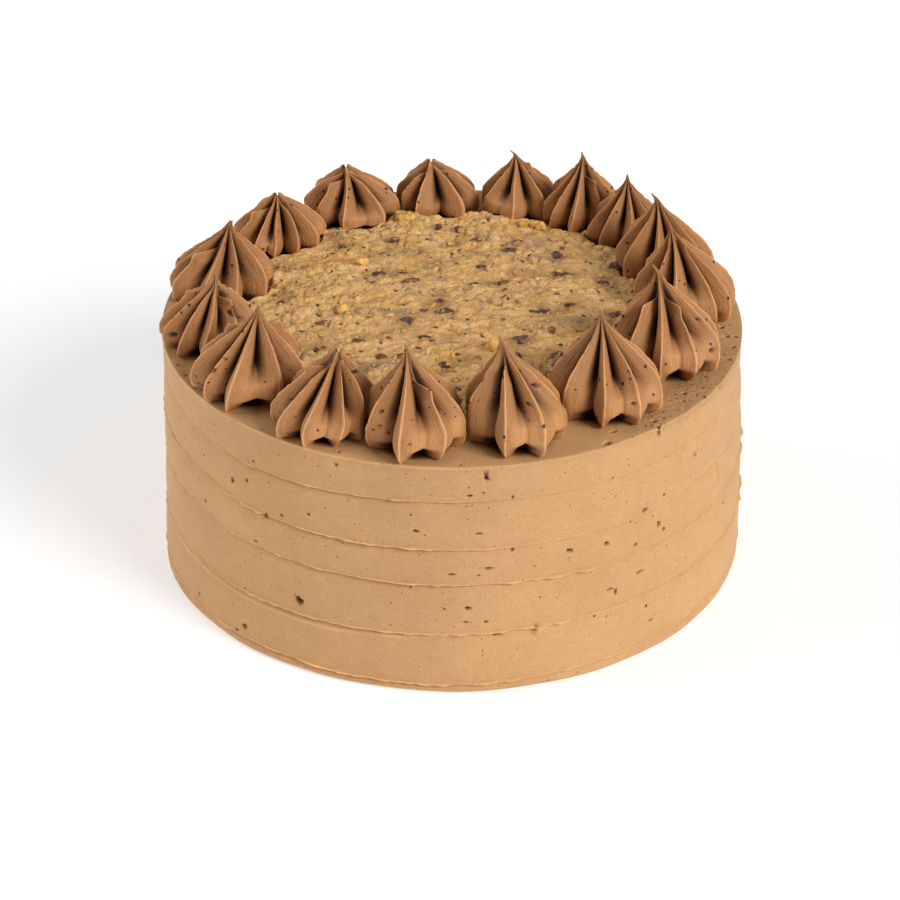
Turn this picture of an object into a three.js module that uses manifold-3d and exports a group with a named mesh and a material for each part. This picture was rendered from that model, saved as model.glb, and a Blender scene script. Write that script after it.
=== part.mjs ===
// A whole iced layer cake: a frosted round body scraped in bands, a coconut and pecan
// topping spread inside its rim, and a ring of star-piped dollops standing on the rim.
// Millimetres, +Z up. The origin is on the ground under the middle of the cake,
// and -Y is the front.
import * as THREE from "three";
import { mergeVertices } from "three/addons/utils/BufferGeometryUtils.js";
import Module from "manifold-3d";

// Cake body
const TOP_HEIGHT = 90;
const SIDE_RADIUS = 106.6;
const SIDE_TAPER = 2.2; // the side leans in by this much from the foot to the rim
const SIDE_SHIFT_FOOT = 0.6; // the body leans a little to the left as it rises
const SIDE_SHIFT_TOP = -0.8;
const RIM_RADIUS = 3.6;
const RIDGE_HEIGHTS = [4.7, 23.9, 43.5, 58.3, 75.8]; // creases between the scraped bands
const BAND_BULGE = 0.45;
const CREASE_DEPTH = 0.6;
const LIP_PROUD = 0.2;
const LIP_ABOVE_CREASE = 0.9;
const RIDGE_WANDER = 0.8;
const LONG_WAVE = 2; // waves round the cake in the lie of a crease
const SHORT_WAVE = 5;
const SHORT_WAVE_SHARE = 0.5;
const SIDE_WOBBLE = 0.45;
const FOOT_TUCK = 0.9;
const FOOT_SPREAD = 1.2; // the icing spreads at the front left of the foot
const FOOT_SPREAD_ANGLE = -142;
const FOOT_SPREAD_WIDTH = 60; // degrees to each side over which it fades
const SIDE_SAMPLES = 60;

// Topping
const TOPPING_RADIUS = 76;
const TOPPING_THICKNESS = 5;
const TOPPING_WAVE = 1.6; // how far its outline strays
const TOPPING_ROUGHNESS = 0.75; // knobs of coconut on its top
const TOPPING_SAMPLES = 48;
const TOPPING_RINGS = [0.16, 0.32, 0.48, 0.64, 0.8, 0.92];
const TOPPING_DOMING = 0.8;
const TOPPING_FOOT_TUCK = 0.4;
const TOPPING_EDGE_SHARE = 0.6; // share of its thickness up which its edge is steep
const CLEARANCE = 0.3; // gap between pieces that touch
const BIT_COUNT = 34;
const BIT_SPREAD = 62; // the outermost bit lies this far from the middle
const BIT_HALF_HEIGHT = 2; // half of it stands out of the topping
const BIT_LENGTH = [1.8, 3.6]; // shortest and longest, from its middle to its end
const BIT_WIDTH_SHARE = [0.55, 0.9]; // narrowest and broadest, as a share of its length
const BIT_SEED = 20417;
const GOLDEN_ANGLE = 137.508;

// Dollops
const FINS = 9;
const GROOVE_PLACE = 0.62; // share of the way from one crest to the next
const FIN_SAMPLES = [0, 0.3, GROOVE_PLACE, 0.8]; // places along that way
const TWIST = 12; // degrees that the fins turn from foot to tip
const TIP_LEAN_IN = 2; // every tip leans this far towards the middle of the cake
const TIP_BEND = 1.5; // power by which the lean grows with height
const FIN_UNEVENNESS = 0.07;
const FIN_SLOPE = 0.6; // share of a fin's depth lost evenly from its crest to its groove

// Height up a dollop, how far its fins reach, and how far its grooves reach, each as a
// share: of the dollop's height, of its radius, and of the fins' reach. The power says
// how suddenly a fin's flank drops to the groove: the higher, the narrower the slit.
const DOLLOP_PROFILE = [
  { height: 0.0, reach: 0.7, groove: 0.45, power: 2.2 },
  { height: 0.08, reach: 0.92, groove: 0.53, power: 2.6 },
  { height: 0.2, reach: 1.0, groove: 0.56, power: 3 },
  { height: 0.34, reach: 0.91, groove: 0.48, power: 5 },
  { height: 0.5, reach: 0.67, groove: 0.36, power: 7 },
  { height: 0.68, reach: 0.35, groove: 0.38, power: 7 },
  { height: 0.84, reach: 0.14, groove: 0.55, power: 7 },
  { height: 1.0, reach: 0.035, groove: 0.85, power: 7 },
];

// Each dollop was piped by hand: its place on the rim (degrees anticlockwise from +X,
// and distance from the middle), its radius and height, how far its tip strays to the
// right, and the directions of the crests on its front, in degrees to the right of -Y.
// The rest of its crests are spaced evenly behind.
const DOLLOPS = [
  {
    angle: 94, ring: 86, radius: 16.8, height: 21, stray: -2.8,
    crests: [-100, -65, -36, 31, 78],
  },
  {
    angle: 72.5, ring: 86, radius: 15.5, height: 27, stray: -2.6,
    crests: [-105, -72, -17, 37, 80],
  },
  { angle: 56, ring: 87, radius: 16, height: 31, stray: 0, crests: [-80, -54, -18, 30, 62] },
  { angle: 41, ring: 86, radius: 15.6, height: 29, stray: -0.5, crests: [-80, -44, 0, 42, 80] },
  {
    angle: 20.5, ring: 83, radius: 18, height: 34, stray: -5,
    crests: [-95, -62, -16, 25, 55, 88],
  },
  {
    angle: 1, ring: 83.5, radius: 18, height: 35.5, stray: -8,
    crests: [-90, -55, -18, 31, 59, 100],
  },
  {
    angle: -25.5, ring: 80.7, radius: 19.4, height: 37.5, stray: -4.5,
    crests: [-95, -49, -12, 28, 65, 100],
  },
  {
    angle: -51.5, ring: 81.3, radius: 19.6, height: 35, stray: -2.7,
    crests: [-100, -53, -9, 31, 72, 102],
  },
  {
    angle: -76.5, ring: 87, radius: 16.5, height: 37, stray: -5.9,
    crests: [-115, -77, -15, 31, 80, 115],
  },
  {
    angle: -98.5, ring: 88, radius: 17, height: 35, stray: -2.7,
    crests: [-112, -69, -16, 31, 77, 118],
  },
  {
    angle: -119.5, ring: 88.5, radius: 18.3, height: 27, stray: 5.7,
    crests: [-95, -56, -23, 16, 46, 90],
  },
  {
    angle: -143, ring: 87.5, radius: 19.4, height: 31, stray: 4.5,
    crests: [-115, -88, -52, -20, 37, 78, 120],
  },
  {
    angle: -166.5, ring: 88.5, radius: 17.2, height: 26, stray: 3.8,
    crests: [-98, -74, -38, -2, 42, 90],
  },
  {
    angle: 168.5, ring: 86.5, radius: 19.2, height: 29, stray: 4.5,
    crests: [-115, -88, -62, -20, 18, 60, 100],
  },
  {
    angle: 139.5, ring: 87, radius: 17.8, height: 21, stray: 0,
    crests: [-95, -60, -30, -5, 25, 60, 100],
  },
  {
    angle: 116, ring: 88, radius: 18.7, height: 22, stray: -2.6,
    crests: [-95, -52, -12, 37, 85],
  },
];

const radians = THREE.MathUtils.degToRad;
const mix = THREE.MathUtils.lerp;

// A repeatable random number from 0 to 1 at each call.
function seededRandom(seed) {
  let state = seed;
  return () => {
    state = (Math.imul(state, 1664525) + 1013904223) >>> 0;
    return state / 4294967296;
  };
}

// A closed surface through a stack of rings, all with the same number of points and
// running anticlockwise seen from above, shut by a point at each end.
function loft(rings, bottom, top) {
  const count = rings[0].length;
  const points = [bottom, ...rings.flat(), top];
  const index = [];
  const at = (row, i) => 1 + row * count + (i % count);
  const last = rings.length - 1;
  for (let i = 0; i < count; i += 1) {
    index.push(0, at(0, i + 1), at(0, i));
    index.push(points.length - 1, at(last, i), at(last, i + 1));
    for (let row = 0; row < last; row += 1) {
      index.push(at(row, i), at(row, i + 1), at(row + 1, i + 1));
      index.push(at(row, i), at(row + 1, i + 1), at(row + 1, i));
    }
  }
  const geometry = new THREE.BufferGeometry().setFromPoints(points);
  geometry.setIndex(index);
  return geometry;
}

// How far a direction is from another, in degrees from 0 to 180.
function angleBetween(a, b) {
  const turn = (((a - b) % 360) + 360) % 360;
  return Math.min(turn, 360 - turn);
}

// How far a crease rises and falls on its way round the cake.
function ridgeWander(ridge, angle) {
  const turn = radians(angle);
  const long = Math.sin(LONG_WAVE * turn + 1.9 * ridge);
  const short = Math.sin(SHORT_WAVE * turn + 0.7 * ridge);
  return RIDGE_WANDER * (long + SHORT_WAVE_SHARE * short);
}

// The point on the cake's side at a height and angle, set out or in by an offset.
function sidePoint(angle, height, offset) {
  const turn = radians(angle);
  const rise = height / TOP_HEIGHT;
  const wobble = SIDE_WOBBLE * Math.cos(2 * turn + 0.6 + rise);
  const away = angleBetween(angle, FOOT_SPREAD_ANGLE);
  const near = Math.max(0, 1 - away / FOOT_SPREAD_WIDTH);
  const spread = FOOT_SPREAD * near * Math.max(0, 1 - 2 * rise);
  const radius = SIDE_RADIUS - SIDE_TAPER * rise + wobble + spread + offset;
  const shift = mix(SIDE_SHIFT_FOOT, SIDE_SHIFT_TOP, rise);
  return new THREE.Vector3(
    shift + radius * Math.cos(turn),
    radius * Math.sin(turn),
    height,
  );
}

function sideRing(heightAt, offset) {
  return Array.from({ length: SIDE_SAMPLES }, (_, i) => {
    const angle = (i * 360) / SIDE_SAMPLES;
    return sidePoint(angle, heightAt(angle), offset);
  });
}

// The frosted body: bulging bands between creases, each with a lip along its lower
// edge, a tucked foot and a rounded rim round a flat top.
function cakeBody() {
  const bandEdges = [0, ...RIDGE_HEIGHTS, TOP_HEIGHT - RIM_RADIUS];
  const rings = [];
  for (let band = 0; band < bandEdges.length - 1; band += 1) {
    const low = bandEdges[band];
    const high = bandEdges[band + 1];
    const wanderLow = (angle) => (band === 0 ? 0 : ridgeWander(band, angle));
    const lastBand = band === bandEdges.length - 2;
    const wanderHigh = (angle) => (lastBand ? 0 : ridgeWander(band + 1, angle));
    if (band === 0) {
      rings.push(sideRing(() => 0, -FOOT_TUCK));
    } else {
      const lip = low + LIP_ABOVE_CREASE / 2;
      rings.push(sideRing((angle) => lip + wanderLow(angle), LIP_PROUD));
    }
    const middle = (angle) => (low + high + wanderLow(angle) + wanderHigh(angle)) / 2;
    rings.push(sideRing(middle, band === 0 ? 0 : BAND_BULGE));
    if (!lastBand) {
      const crease = high - LIP_ABOVE_CREASE / 2;
      rings.push(sideRing((angle) => crease + wanderHigh(angle), -CREASE_DEPTH));
    }
  }
  for (const share of [0, 0.35, 0.7, 1]) {
    const turn = (share * Math.PI) / 2;
    const height = TOP_HEIGHT - RIM_RADIUS * (1 - Math.sin(turn));
    rings.push(sideRing(() => height, -RIM_RADIUS * (1 - Math.cos(turn))));
  }
  return loft(
    rings,
    new THREE.Vector3(0, 0, 0),
    new THREE.Vector3(0, 0, TOP_HEIGHT),
  );
}

// The middle of a dollop's foot.
function dollopCentre(dollop) {
  const turn = radians(dollop.angle);
  return new THREE.Vector3(
    dollop.ring * Math.cos(turn),
    dollop.ring * Math.sin(turn),
    TOP_HEIGHT,
  );
}

// Moves a point back behind the flat that a dollop shares with each neighbour, where
// the two were pressed together as they were piped.
function keepClear(point, number) {
  const own = DOLLOPS[number];
  const centre = dollopCentre(own);
  for (const step of [1, DOLLOPS.length - 1]) {
    const other = DOLLOPS[(number + step) % DOLLOPS.length];
    const toOther = dollopCentre(other).sub(centre);
    const distance = toOther.length();
    toOther.normalize();
    const share = own.radius / (own.radius + other.radius);
    const limit = distance * share - CLEARANCE / 2;
    const reach = point.clone().sub(centre).dot(toOther);
    if (reach > limit) {
      point.addScaledVector(toOther, limit - reach);
    }
  }
  return point;
}

// How far a fin stands out, from 1 at its crest to 0 in its groove. The flank is full
// near the crest and drops to the groove by a power of its share of the way there.
function finDepth(share, power) {
  return 1 - FIN_SLOPE * share - (1 - FIN_SLOPE) * share ** power;
}

// The directions of all the crests of a dollop in degrees, and the first one again a
// whole turn later: the given ones on its front and the others spaced evenly behind.
function crestBearings(dollop) {
  const given = dollop.crests;
  const missing = FINS - given.length;
  const last = given.at(-1);
  const step = (given[0] + 360 - last) / (missing + 1);
  const behind = Array.from({ length: missing }, (_, i) => last + step * (i + 1));
  return [...given, ...behind, given[0] + 360].map((crest) => crest - 90);
}

// A dollop from a star tip: fins that swell over a tucked foot and close to a point.
function starDollop(number) {
  const dollop = DOLLOPS[number];
  const centre = dollopCentre(dollop);
  const leanY = (-TIP_LEAN_IN * centre.y) / dollop.ring;
  const bearings = crestBearings(dollop);
  const axisAt = (height) =>
    new THREE.Vector3(
      centre.x + dollop.stray * height ** TIP_BEND,
      centre.y + leanY * height ** TIP_BEND,
      TOP_HEIGHT + dollop.height * height,
    );
  const pointAt = (row, fin, way) => {
    const axis = axisAt(row.height);
    const opens = way <= GROOVE_PLACE;
    const share = opens ? way / GROOVE_PLACE : (1 - way) / (1 - GROOVE_PLACE);
    const nearest = (opens ? fin : fin + 1) % FINS;
    const uneven = 1 + FIN_UNEVENNESS * Math.sin(2.4 * nearest + 1.7 * number);
    const depth = (1 - row.groove) * finDepth(share, row.power) * uneven;
    const radius = dollop.radius * row.reach * (row.groove + depth);
    const turn = radians(mix(bearings[fin], bearings[fin + 1], way) + TWIST * row.height);
    const point = new THREE.Vector3(
      axis.x + radius * Math.cos(turn),
      axis.y + radius * Math.sin(turn),
      axis.z,
    );
    return keepClear(point, number);
  };
  const rings = DOLLOP_PROFILE.map((row) =>
    bearings.slice(0, FINS).flatMap((_, fin) => FIN_SAMPLES.map((way) => pointAt(row, fin, way))),
  );
  return loft(rings, centre, axisAt(1));
}

// How far the topping reaches in a direction: to its own wavy edge, or to where the
// foot of a dollop begins.
function toppingReach(angle) {
  const turn = radians(angle);
  const wave = Math.sin(3 * turn + 0.8) + 0.6 * Math.sin(7 * turn);
  let reach = TOPPING_RADIUS + TOPPING_WAVE * wave;
  const direction = new THREE.Vector2(Math.cos(turn), Math.sin(turn));
  for (const dollop of DOLLOPS) {
    const centre = dollopCentre(dollop);
    const along = centre.x * direction.x + centre.y * direction.y;
    const across = Math.abs(centre.x * direction.y - centre.y * direction.x);
    const keep = dollop.radius * (1 + FIN_UNEVENNESS) + CLEARANCE;
    if (along > 0 && across < keep) {
      reach = Math.min(reach, along - Math.sqrt(keep ** 2 - across ** 2));
    }
  }
  return reach;
}

// The mean height of the topping's top over the cake, at a share of the way out.
function toppingRise(share) {
  return TOPPING_THICKNESS + TOPPING_DOMING * (1 - share ** 2) - TOPPING_ROUGHNESS;
}

// The bare topping: a thick uneven disc with a knobbly top and a steep edge.
function toppingSlab() {
  const random = seededRandom(BIT_SEED);
  const angles = Array.from(
    { length: TOPPING_SAMPLES },
    (_, i) => (i * 360) / TOPPING_SAMPLES,
  );
  const ring = (share, inset, height, roughness) =>
    angles.map((angle) => {
      const turn = radians(angle);
      const radius = (toppingReach(angle) - inset) * share;
      const knob = roughness * (2 * random() - 1);
      const place = new THREE.Vector3(radius * Math.cos(turn), radius * Math.sin(turn));
      return place.setZ(TOP_HEIGHT + height + knob);
    });
  const edgeHeight = TOPPING_THICKNESS * TOPPING_EDGE_SHARE;
  const rings = [ring(1, TOPPING_FOOT_TUCK, 0, 0), ring(1, 0, edgeHeight, 0)];
  for (const share of [...TOPPING_RINGS].reverse()) {
    rings.push(ring(share, 0, toppingRise(share), TOPPING_ROUGHNESS));
  }
  return loft(
    rings,
    new THREE.Vector3(0, 0, TOP_HEIGHT),
    new THREE.Vector3(0, 0, TOP_HEIGHT + toppingRise(0)),
  );
}

// One bit of pecan: a lump longer than it is high, half sunk in the topping.
function pecanBit(number, random) {
  const length = mix(BIT_LENGTH[0], BIT_LENGTH[1], random());
  const bearing = number * GOLDEN_ANGLE;
  const spread = BIT_SPREAD * Math.sqrt((number + 0.5) / BIT_COUNT);
  const reach = toppingReach(bearing);
  const out = Math.min(spread, reach * TOPPING_RINGS.at(-1) - length);
  const turn = radians(bearing);
  const bit = new THREE.IcosahedronGeometry(1, 0);
  const widthShare = mix(BIT_WIDTH_SHARE[0], BIT_WIDTH_SHARE[1], random());
  bit.scale(length, length * widthShare, BIT_HALF_HEIGHT);
  bit.rotateZ(2 * Math.PI * random());
  const height = TOP_HEIGHT + toppingRise(out / reach);
  bit.translate(out * Math.cos(turn), out * Math.sin(turn), height);
  return bit;
}

const wasm = await Module();
wasm.setup();

function toSolid(geometry) {
  const bare = geometry.clone();
  bare.deleteAttribute("normal");
  bare.deleteAttribute("uv");
  const merged = mergeVertices(bare, 1e-4);
  return new wasm.Manifold(
    new wasm.Mesh({
      numProp: 3,
      vertProperties: merged.attributes.position.array,
      triVerts: new Uint32Array(merged.index.array),
    }),
  );
}

function toGeometry(solid) {
  const mesh = solid.getMesh();
  const geometry = new THREE.BufferGeometry();
  geometry.setAttribute("position", new THREE.BufferAttribute(mesh.vertProperties, 3));
  geometry.setIndex(new THREE.BufferAttribute(mesh.triVerts, 1));
  return geometry;
}

// The topping with its pecan bits joined to it.
function topping() {
  const random = seededRandom(BIT_SEED);
  let solid = toSolid(toppingSlab());
  for (let number = 0; number < BIT_COUNT; number += 1) {
    solid = solid.add(toSolid(pecanBit(number, random)));
  }
  return toGeometry(solid);
}

// A named piece with the matt finish of its icing or topping.
function piece(name, geometry, colour, roughness) {
  geometry.computeVertexNormals();
  const material = new THREE.MeshStandardMaterial({
    color: colour,
    roughness,
    metalness: 0,
  });
  const mesh = new THREE.Mesh(geometry, material);
  mesh.name = name;
  return mesh;
}

const cake = new THREE.Group();
cake.add(piece("frosted_body", cakeBody(), "#c8996c", 0.6));
cake.add(piece("coconut_pecan_topping", topping(), "#cc9d63", 0.7));
DOLLOPS.forEach((_, number) => {
  const name = "star_dollop_" + String(number + 1).padStart(2, "0");
  cake.add(piece(name, starDollop(number), "#af7749", 0.55));
});

export default cake;
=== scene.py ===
"""A whole iced layer cake in Blender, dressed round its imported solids: a frosted body with
scraped bands, a coconut and pecan topping, and sixteen star-piped dollops."""

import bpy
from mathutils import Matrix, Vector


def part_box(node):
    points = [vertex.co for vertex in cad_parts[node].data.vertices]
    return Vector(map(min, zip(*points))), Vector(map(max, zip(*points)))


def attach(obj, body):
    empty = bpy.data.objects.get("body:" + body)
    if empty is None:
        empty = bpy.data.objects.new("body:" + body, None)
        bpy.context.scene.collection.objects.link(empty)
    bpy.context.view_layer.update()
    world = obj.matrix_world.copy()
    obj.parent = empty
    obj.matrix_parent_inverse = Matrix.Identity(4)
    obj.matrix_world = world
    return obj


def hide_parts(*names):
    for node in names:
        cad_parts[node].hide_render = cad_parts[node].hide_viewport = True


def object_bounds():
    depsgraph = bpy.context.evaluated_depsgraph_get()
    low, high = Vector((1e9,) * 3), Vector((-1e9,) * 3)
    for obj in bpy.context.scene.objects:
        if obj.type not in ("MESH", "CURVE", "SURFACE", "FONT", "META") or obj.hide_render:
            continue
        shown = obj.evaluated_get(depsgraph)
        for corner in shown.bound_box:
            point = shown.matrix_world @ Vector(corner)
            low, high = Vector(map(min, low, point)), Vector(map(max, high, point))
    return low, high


bl_info = {
    "name": "Iced Layer Cake",
    "version": (1, 0, 0),
    "blender": (4, 5, 0),
    "location": "View3D > Sidebar > Cake",
    "description": "Builds an iced layer cake with piped dollops and a coconut topping",
    "category": "Add Mesh",
}

import math
from collections import namedtuple

import bmesh
import bpy
import numpy as np
from bpy.props import FloatProperty, FloatVectorProperty, IntProperty, PointerProperty
from mathutils import Matrix, Vector

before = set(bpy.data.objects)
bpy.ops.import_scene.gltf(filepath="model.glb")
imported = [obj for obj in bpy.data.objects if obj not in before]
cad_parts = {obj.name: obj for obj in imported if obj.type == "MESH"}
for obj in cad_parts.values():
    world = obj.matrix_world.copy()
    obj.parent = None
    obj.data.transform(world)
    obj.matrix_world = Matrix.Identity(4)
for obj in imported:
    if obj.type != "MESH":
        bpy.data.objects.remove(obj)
CAD_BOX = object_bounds()
BODY = "root"
MM = 0.001

# Height of the flat top of the icing, read off its solid.
TOP_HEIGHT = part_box("frosted_body")[1].z

# Creases left between the bands that were scraped round the side, from the foot up.
# Each has a height, and how strongly its lip shows at the left and at the right.
RIDGES = [
    {"height": 4.7 * MM, "left": 1.0, "right": 0.7},
    {"height": 23.9 * MM, "left": 0.9, "right": 1.0},
    {"height": 43.5 * MM, "left": 0.8, "right": 1.0},
    {"height": 58.3 * MM, "left": 1.1, "right": 0.35},
    {"height": 75.8 * MM, "left": 0.75, "right": 0.2},
]
RIDGE_WANDER = 0.8 * MM
# Rows of points near a crease, in millimetres above it, and near the second line on the
# left, in millimetres below the second crease.
RIDGE_ROWS_MM = [-2.2, -1.4, -0.9, -0.55, -0.3, -0.1, 0.1, 0.25, 0.4, 0.6, 0.9, 1.4, 2.3]
SECOND_LINE_ROWS_MM = [2.6, 3.0, 3.4, 3.9]
# The widest and the narrowest step between rows, and where the rows end below the top.
ROW_STEP = 1.25 * MM
LEAST_ROW_STEP = 0.12 * MM
TOP_ROW_BELOW = 3.6 * MM
# The icing spreads at the foot, most at one bearing, and fades over degrees to each side.
FOOT_SPREAD = 3.2 * MM
FOOT_SPREAD_ANGLE = -150.0
FOOT_SPREAD_WIDTH = 55.0
# How far the foot is tucked in, and up to what height.
FOOT_TUCK = 0.8 * MM
FOOT_TUCK_HEIGHT = 2.0 * MM
# How far the side is from round, its soft lumps and fine ripples, and the same on top.
SIDE_WOBBLE = 0.45 * MM
SIDE_LUMPS = 0.45 * MM
SIDE_RIPPLES = 0.07 * MM
TOP_LUMPS = 0.22 * MM
TOP_SETTLED = 0.1 * MM
# Rings that round the rim, as shares of a quarter turn.
RIM_SHARES = np.linspace(0.08, 1.0, 9)
# How far the side stays inside the outer box of the solids.
BOX_MARGIN = 0.03 * MM

# Air holes and torn spots in the side: bearing in degrees from +X, then the height, the
# half width, the half height and the depth in millimetres.
SIDE_PITS = [
    (-120.1, 29.0, 2.0, 1.7, 2.6),
    (-133.0, 9.1, 1.2, 1.0, 1.8),
    (-135.2, 5.8, 0.6, 0.6, 1.0),
    (-68.3, 52.8, 1.3, 0.8, 1.6),
    (-60.0, 33.0, 1.6, 0.5, 1.2),
    (-58.6, 31.2, 0.6, 1.6, 1.4),
    (-60.8, 52.1, 1.0, 0.8, 1.4),
    (-51.8, 59.3, 1.3, 1.0, 1.1),
    (-48.4, 51.4, 0.9, 1.3, 1.2),
    (-54.2, 47.5, 0.8, 0.6, 0.8),
    (-53.0, 35.4, 1.8, 0.6, 1.3),
    (-50.2, 13.5, 1.2, 0.4, 0.9),
    (-83.9, 85.0, 0.9, 0.7, 1.3),
    (-87.0, 78.8, 1.1, 0.6, 0.7),
    (-96.8, 65.1, 1.5, 0.5, 0.6),
    (-85.4, 64.5, 1.4, 0.4, 0.5),
    (-90.6, 48.8, 1.3, 0.4, 0.8),
    (-83.7, 50.7, 1.9, 0.4, 0.9),
    (-85.6, 48.2, 0.6, 0.4, 0.7),
    (-87.7, 35.3, 1.3, 0.8, 0.7),
    (-91.9, 34.9, 0.7, 0.4, 0.6),
    (-88.0, 29.6, 1.0, 0.4, 0.6),
    (-84.4, 29.6, 1.0, 0.4, 0.7),
    (-82.2, 23.3, 2.4, 0.3, 0.8),
    (-135.9, 65.4, 0.7, 1.2, 1.3),
    (-131.9, 68.2, 0.6, 0.6, 0.9),
    (-145.4, 48.5, 0.9, 0.5, 0.8),
    (-127.3, 57.6, 0.9, 1.0, 1.5),
    (-117.5, 64.4, 0.8, 0.5, 0.6),
    (-130.0, 45.8, 0.7, 0.4, 0.7),
    (-147.3, 8.8, 0.6, 0.6, 0.8),
    (-38.0, 70.0, 0.6, 0.5, 0.7),
    (152.0, 51.0, 1.4, 1.0, 1.5),
    (97.0, 36.0, 1.8, 0.9, 1.6),
    (60.0, 62.0, 1.0, 0.9, 1.3),
    (24.0, 30.0, 1.3, 0.7, 1.2),
    (121.0, 14.0, 1.2, 0.8, 1.3),
]
# Crumbs and blobs of icing that stand out of the side, listed the same way.
SIDE_BLOBS = [
    (-128.9, 57.2, 1.6, 1.5, 1.1),
    (-128.5, 24.2, 2.0, 0.6, 0.8),
    (-74.2, 25.4, 1.7, 1.5, 1.5),
    (-74.9, 22.9, 1.0, 0.8, 0.9),
    (-28.0, 54.0, 1.0, 4.0, 0.8),
    (80.0, 44.5, 1.8, 1.0, 1.0),
]
# Holes and torn spots in the flat rim: bearing in degrees, distance from the middle,
# half width, half length and depth in millimetres.
RIM_PITS = [
    (-60.5, 101.4, 1.6, 1.0, 1.3),
    (-48.4, 99.5, 1.3, 0.9, 1.2),
    (-49.1, 102.9, 1.1, 0.8, 1.0),
    (-57.1, 96.5, 1.5, 0.7, 1.0),
    (-5.9, 95.3, 1.2, 0.8, 1.2),
    (-9.5, 97.6, 1.2, 0.8, 1.1),
    (-9.3, 100.4, 0.9, 0.8, 1.0),
    (-13.9, 100.4, 1.1, 0.9, 1.2),
    (-35.9, 95.9, 1.4, 0.8, 1.0),
    (-34.8, 99.8, 0.8, 0.6, 0.8),
    (-31.7, 99.1, 0.8, 0.6, 0.8),
    (-159.0, 102.0, 0.8, 0.5, 0.8),
    (-154.6, 101.7, 0.8, 0.6, 0.8),
    (-149.2, 102.0, 0.7, 0.5, 0.7),
    (-145.2, 101.8, 0.8, 0.6, 0.8),
    (-112.0, 101.0, 0.9, 0.6, 0.8),
    (-89.0, 101.8, 0.8, 0.5, 0.7),
]

# The dollops, piped by hand. Place on the rim (degrees from +X, and millimetres from the
# middle), radius and height in millimetres, how far the tip strays to the right, how far
# up the whole shape the tip broke off, the directions of the crests on its front in
# degrees to the right of -Y, and crests that end short: number and share of the height.
Dollop = namedtuple("Dollop", "angle ring radius height stray cut crests short")
DOLLOPS = [
    Dollop(94, 86, 16.8, 22, -2.8, 0.86, (-100, -65, -36, 31, 78), {}),
    Dollop(72.5, 86, 15.5, 27.5, -2.6, 1.0, (-105, -72, -17, 37, 80), {4: 0.76}),
    Dollop(56, 87, 16, 31, 0, 1.0, (-80, -54, -18, 30, 62), {3: 0.66}),
    Dollop(41, 86, 15.6, 29, -0.5, 1.0, (-80, -44, 0, 42, 80), {0: 0.72}),
    Dollop(20.5, 83, 18, 34, -5, 1.0, (-95, -62, -16, 25, 55, 88), {}),
    Dollop(1, 83.5, 18, 35.5, -8, 1.0, (-90, -55, -18, 31, 59, 100), {3: 0.8}),
    Dollop(-25.5, 80.7, 19.4, 37.1, -4.5, 1.0, (-95, -49, -12, 28, 65, 100), {1: 0.66, 3: 0.66}),
    Dollop(-51.5, 81.3, 19.6, 35, -2.7, 1.0, (-100, -53, -9, 31, 72, 102), {}),
    Dollop(-76.5, 87, 17.3, 37, -5.9, 1.0, (-115, -77, -15, 31, 80, 115), {2: 0.72}),
    Dollop(-98.5, 88, 17.8, 35, -2.7, 1.0, (-112, -69, -16, 31, 77, 118), {3: 0.62}),
    Dollop(-119.5, 88.5, 18.3, 27.5, 5.7, 0.87, (-95, -56, -23, 16, 46, 90), {0: 0.78}),
    Dollop(-143, 87.5, 19.4, 31, 4.5, 0.97, (-115, -88, -52, -20, 37, 78, 120), {0: 0.7, 6: 0.68}),
    Dollop(-166.5, 88.5, 17.2, 26, 3.8, 0.92, (-98, -74, -38, -2, 42, 90), {0: 0.74, 4: 0.7}),
    Dollop(168.5, 86.5, 19.2, 29, 4.5, 0.97, (-115, -88, -62, -20, 18, 60, 100), {2: 0.62}),
    Dollop(139.5, 87, 17.8, 22, 0, 0.88, (-95, -60, -30, -5, 25, 60, 100), {1: 0.7}),
    Dollop(116, 88, 18.7, 22.5, -2.6, 0.88, (-95, -52, -12, 37, 85), {1: 0.74}),
]
# Share of a dollop's full height, how far its fins reach as a share of its radius, how
# far its grooves reach as a share of the fins' reach, and the power that makes a fin's
# flank drop late and steeply to the groove.
DOLLOP_PROFILE = [
    (0.0, 0.78, 0.28, 1.6),
    (0.035, 0.9, 0.34, 1.8),
    (0.09, 0.97, 0.44, 2.2),
    (0.19, 1.0, 0.52, 3.0),
    (0.32, 0.97, 0.40, 4.5),
    (0.45, 0.83, 0.22, 7.0),
    (0.58, 0.61, 0.15, 8.0),
    (0.7, 0.38, 0.15, 8.0),
    (0.82, 0.17, 0.25, 8.0),
    (0.91, 0.062, 0.5, 7.0),
    (1.0, 0.016, 0.85, 7.0),
]
TIP_LEAN_IN = 2.0 * MM
# Share of the way from one crest to the next at which the groove between them lies.
GROOVE_PLACE = 0.56
FIN_SLOPE = 0.74
FIN_UNEVENNESS = 0.07
ARCH_HEIGHT = 4.0 * MM
# Grooves that fill out low down, counted round from the first crest, where they are
# seen in front, and those of the other dollops.
WEBBED = {
    0: (4,), 1: (1,), 2: (3,), 6: (2, 3), 7: (2, 3), 8: (2, 3), 9: (2, 3), 10: (2, 3),
    11: (3,), 12: (4,), 13: (5,),
}
WEBBED_ELSEWHERE = (2, 5)
# Tips that curl as they were drawn off, in millimetres to the right.
TIP_CURLS = {1: -2.2, 2: -0.6, 4: -1.6, 6: -1.4, 7: 0.4, 12: -0.6, 13: 0.5}
SPUR_HEIGHT = 1.8 * MM
HOLE_DEPTH = 1.3 * MM
# Half the gap left between two dollops, and the width over which they press flat.
DOLLOP_GAP = 0.1 * MM
PRESSED_EDGE = 1.0 * MM
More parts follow.
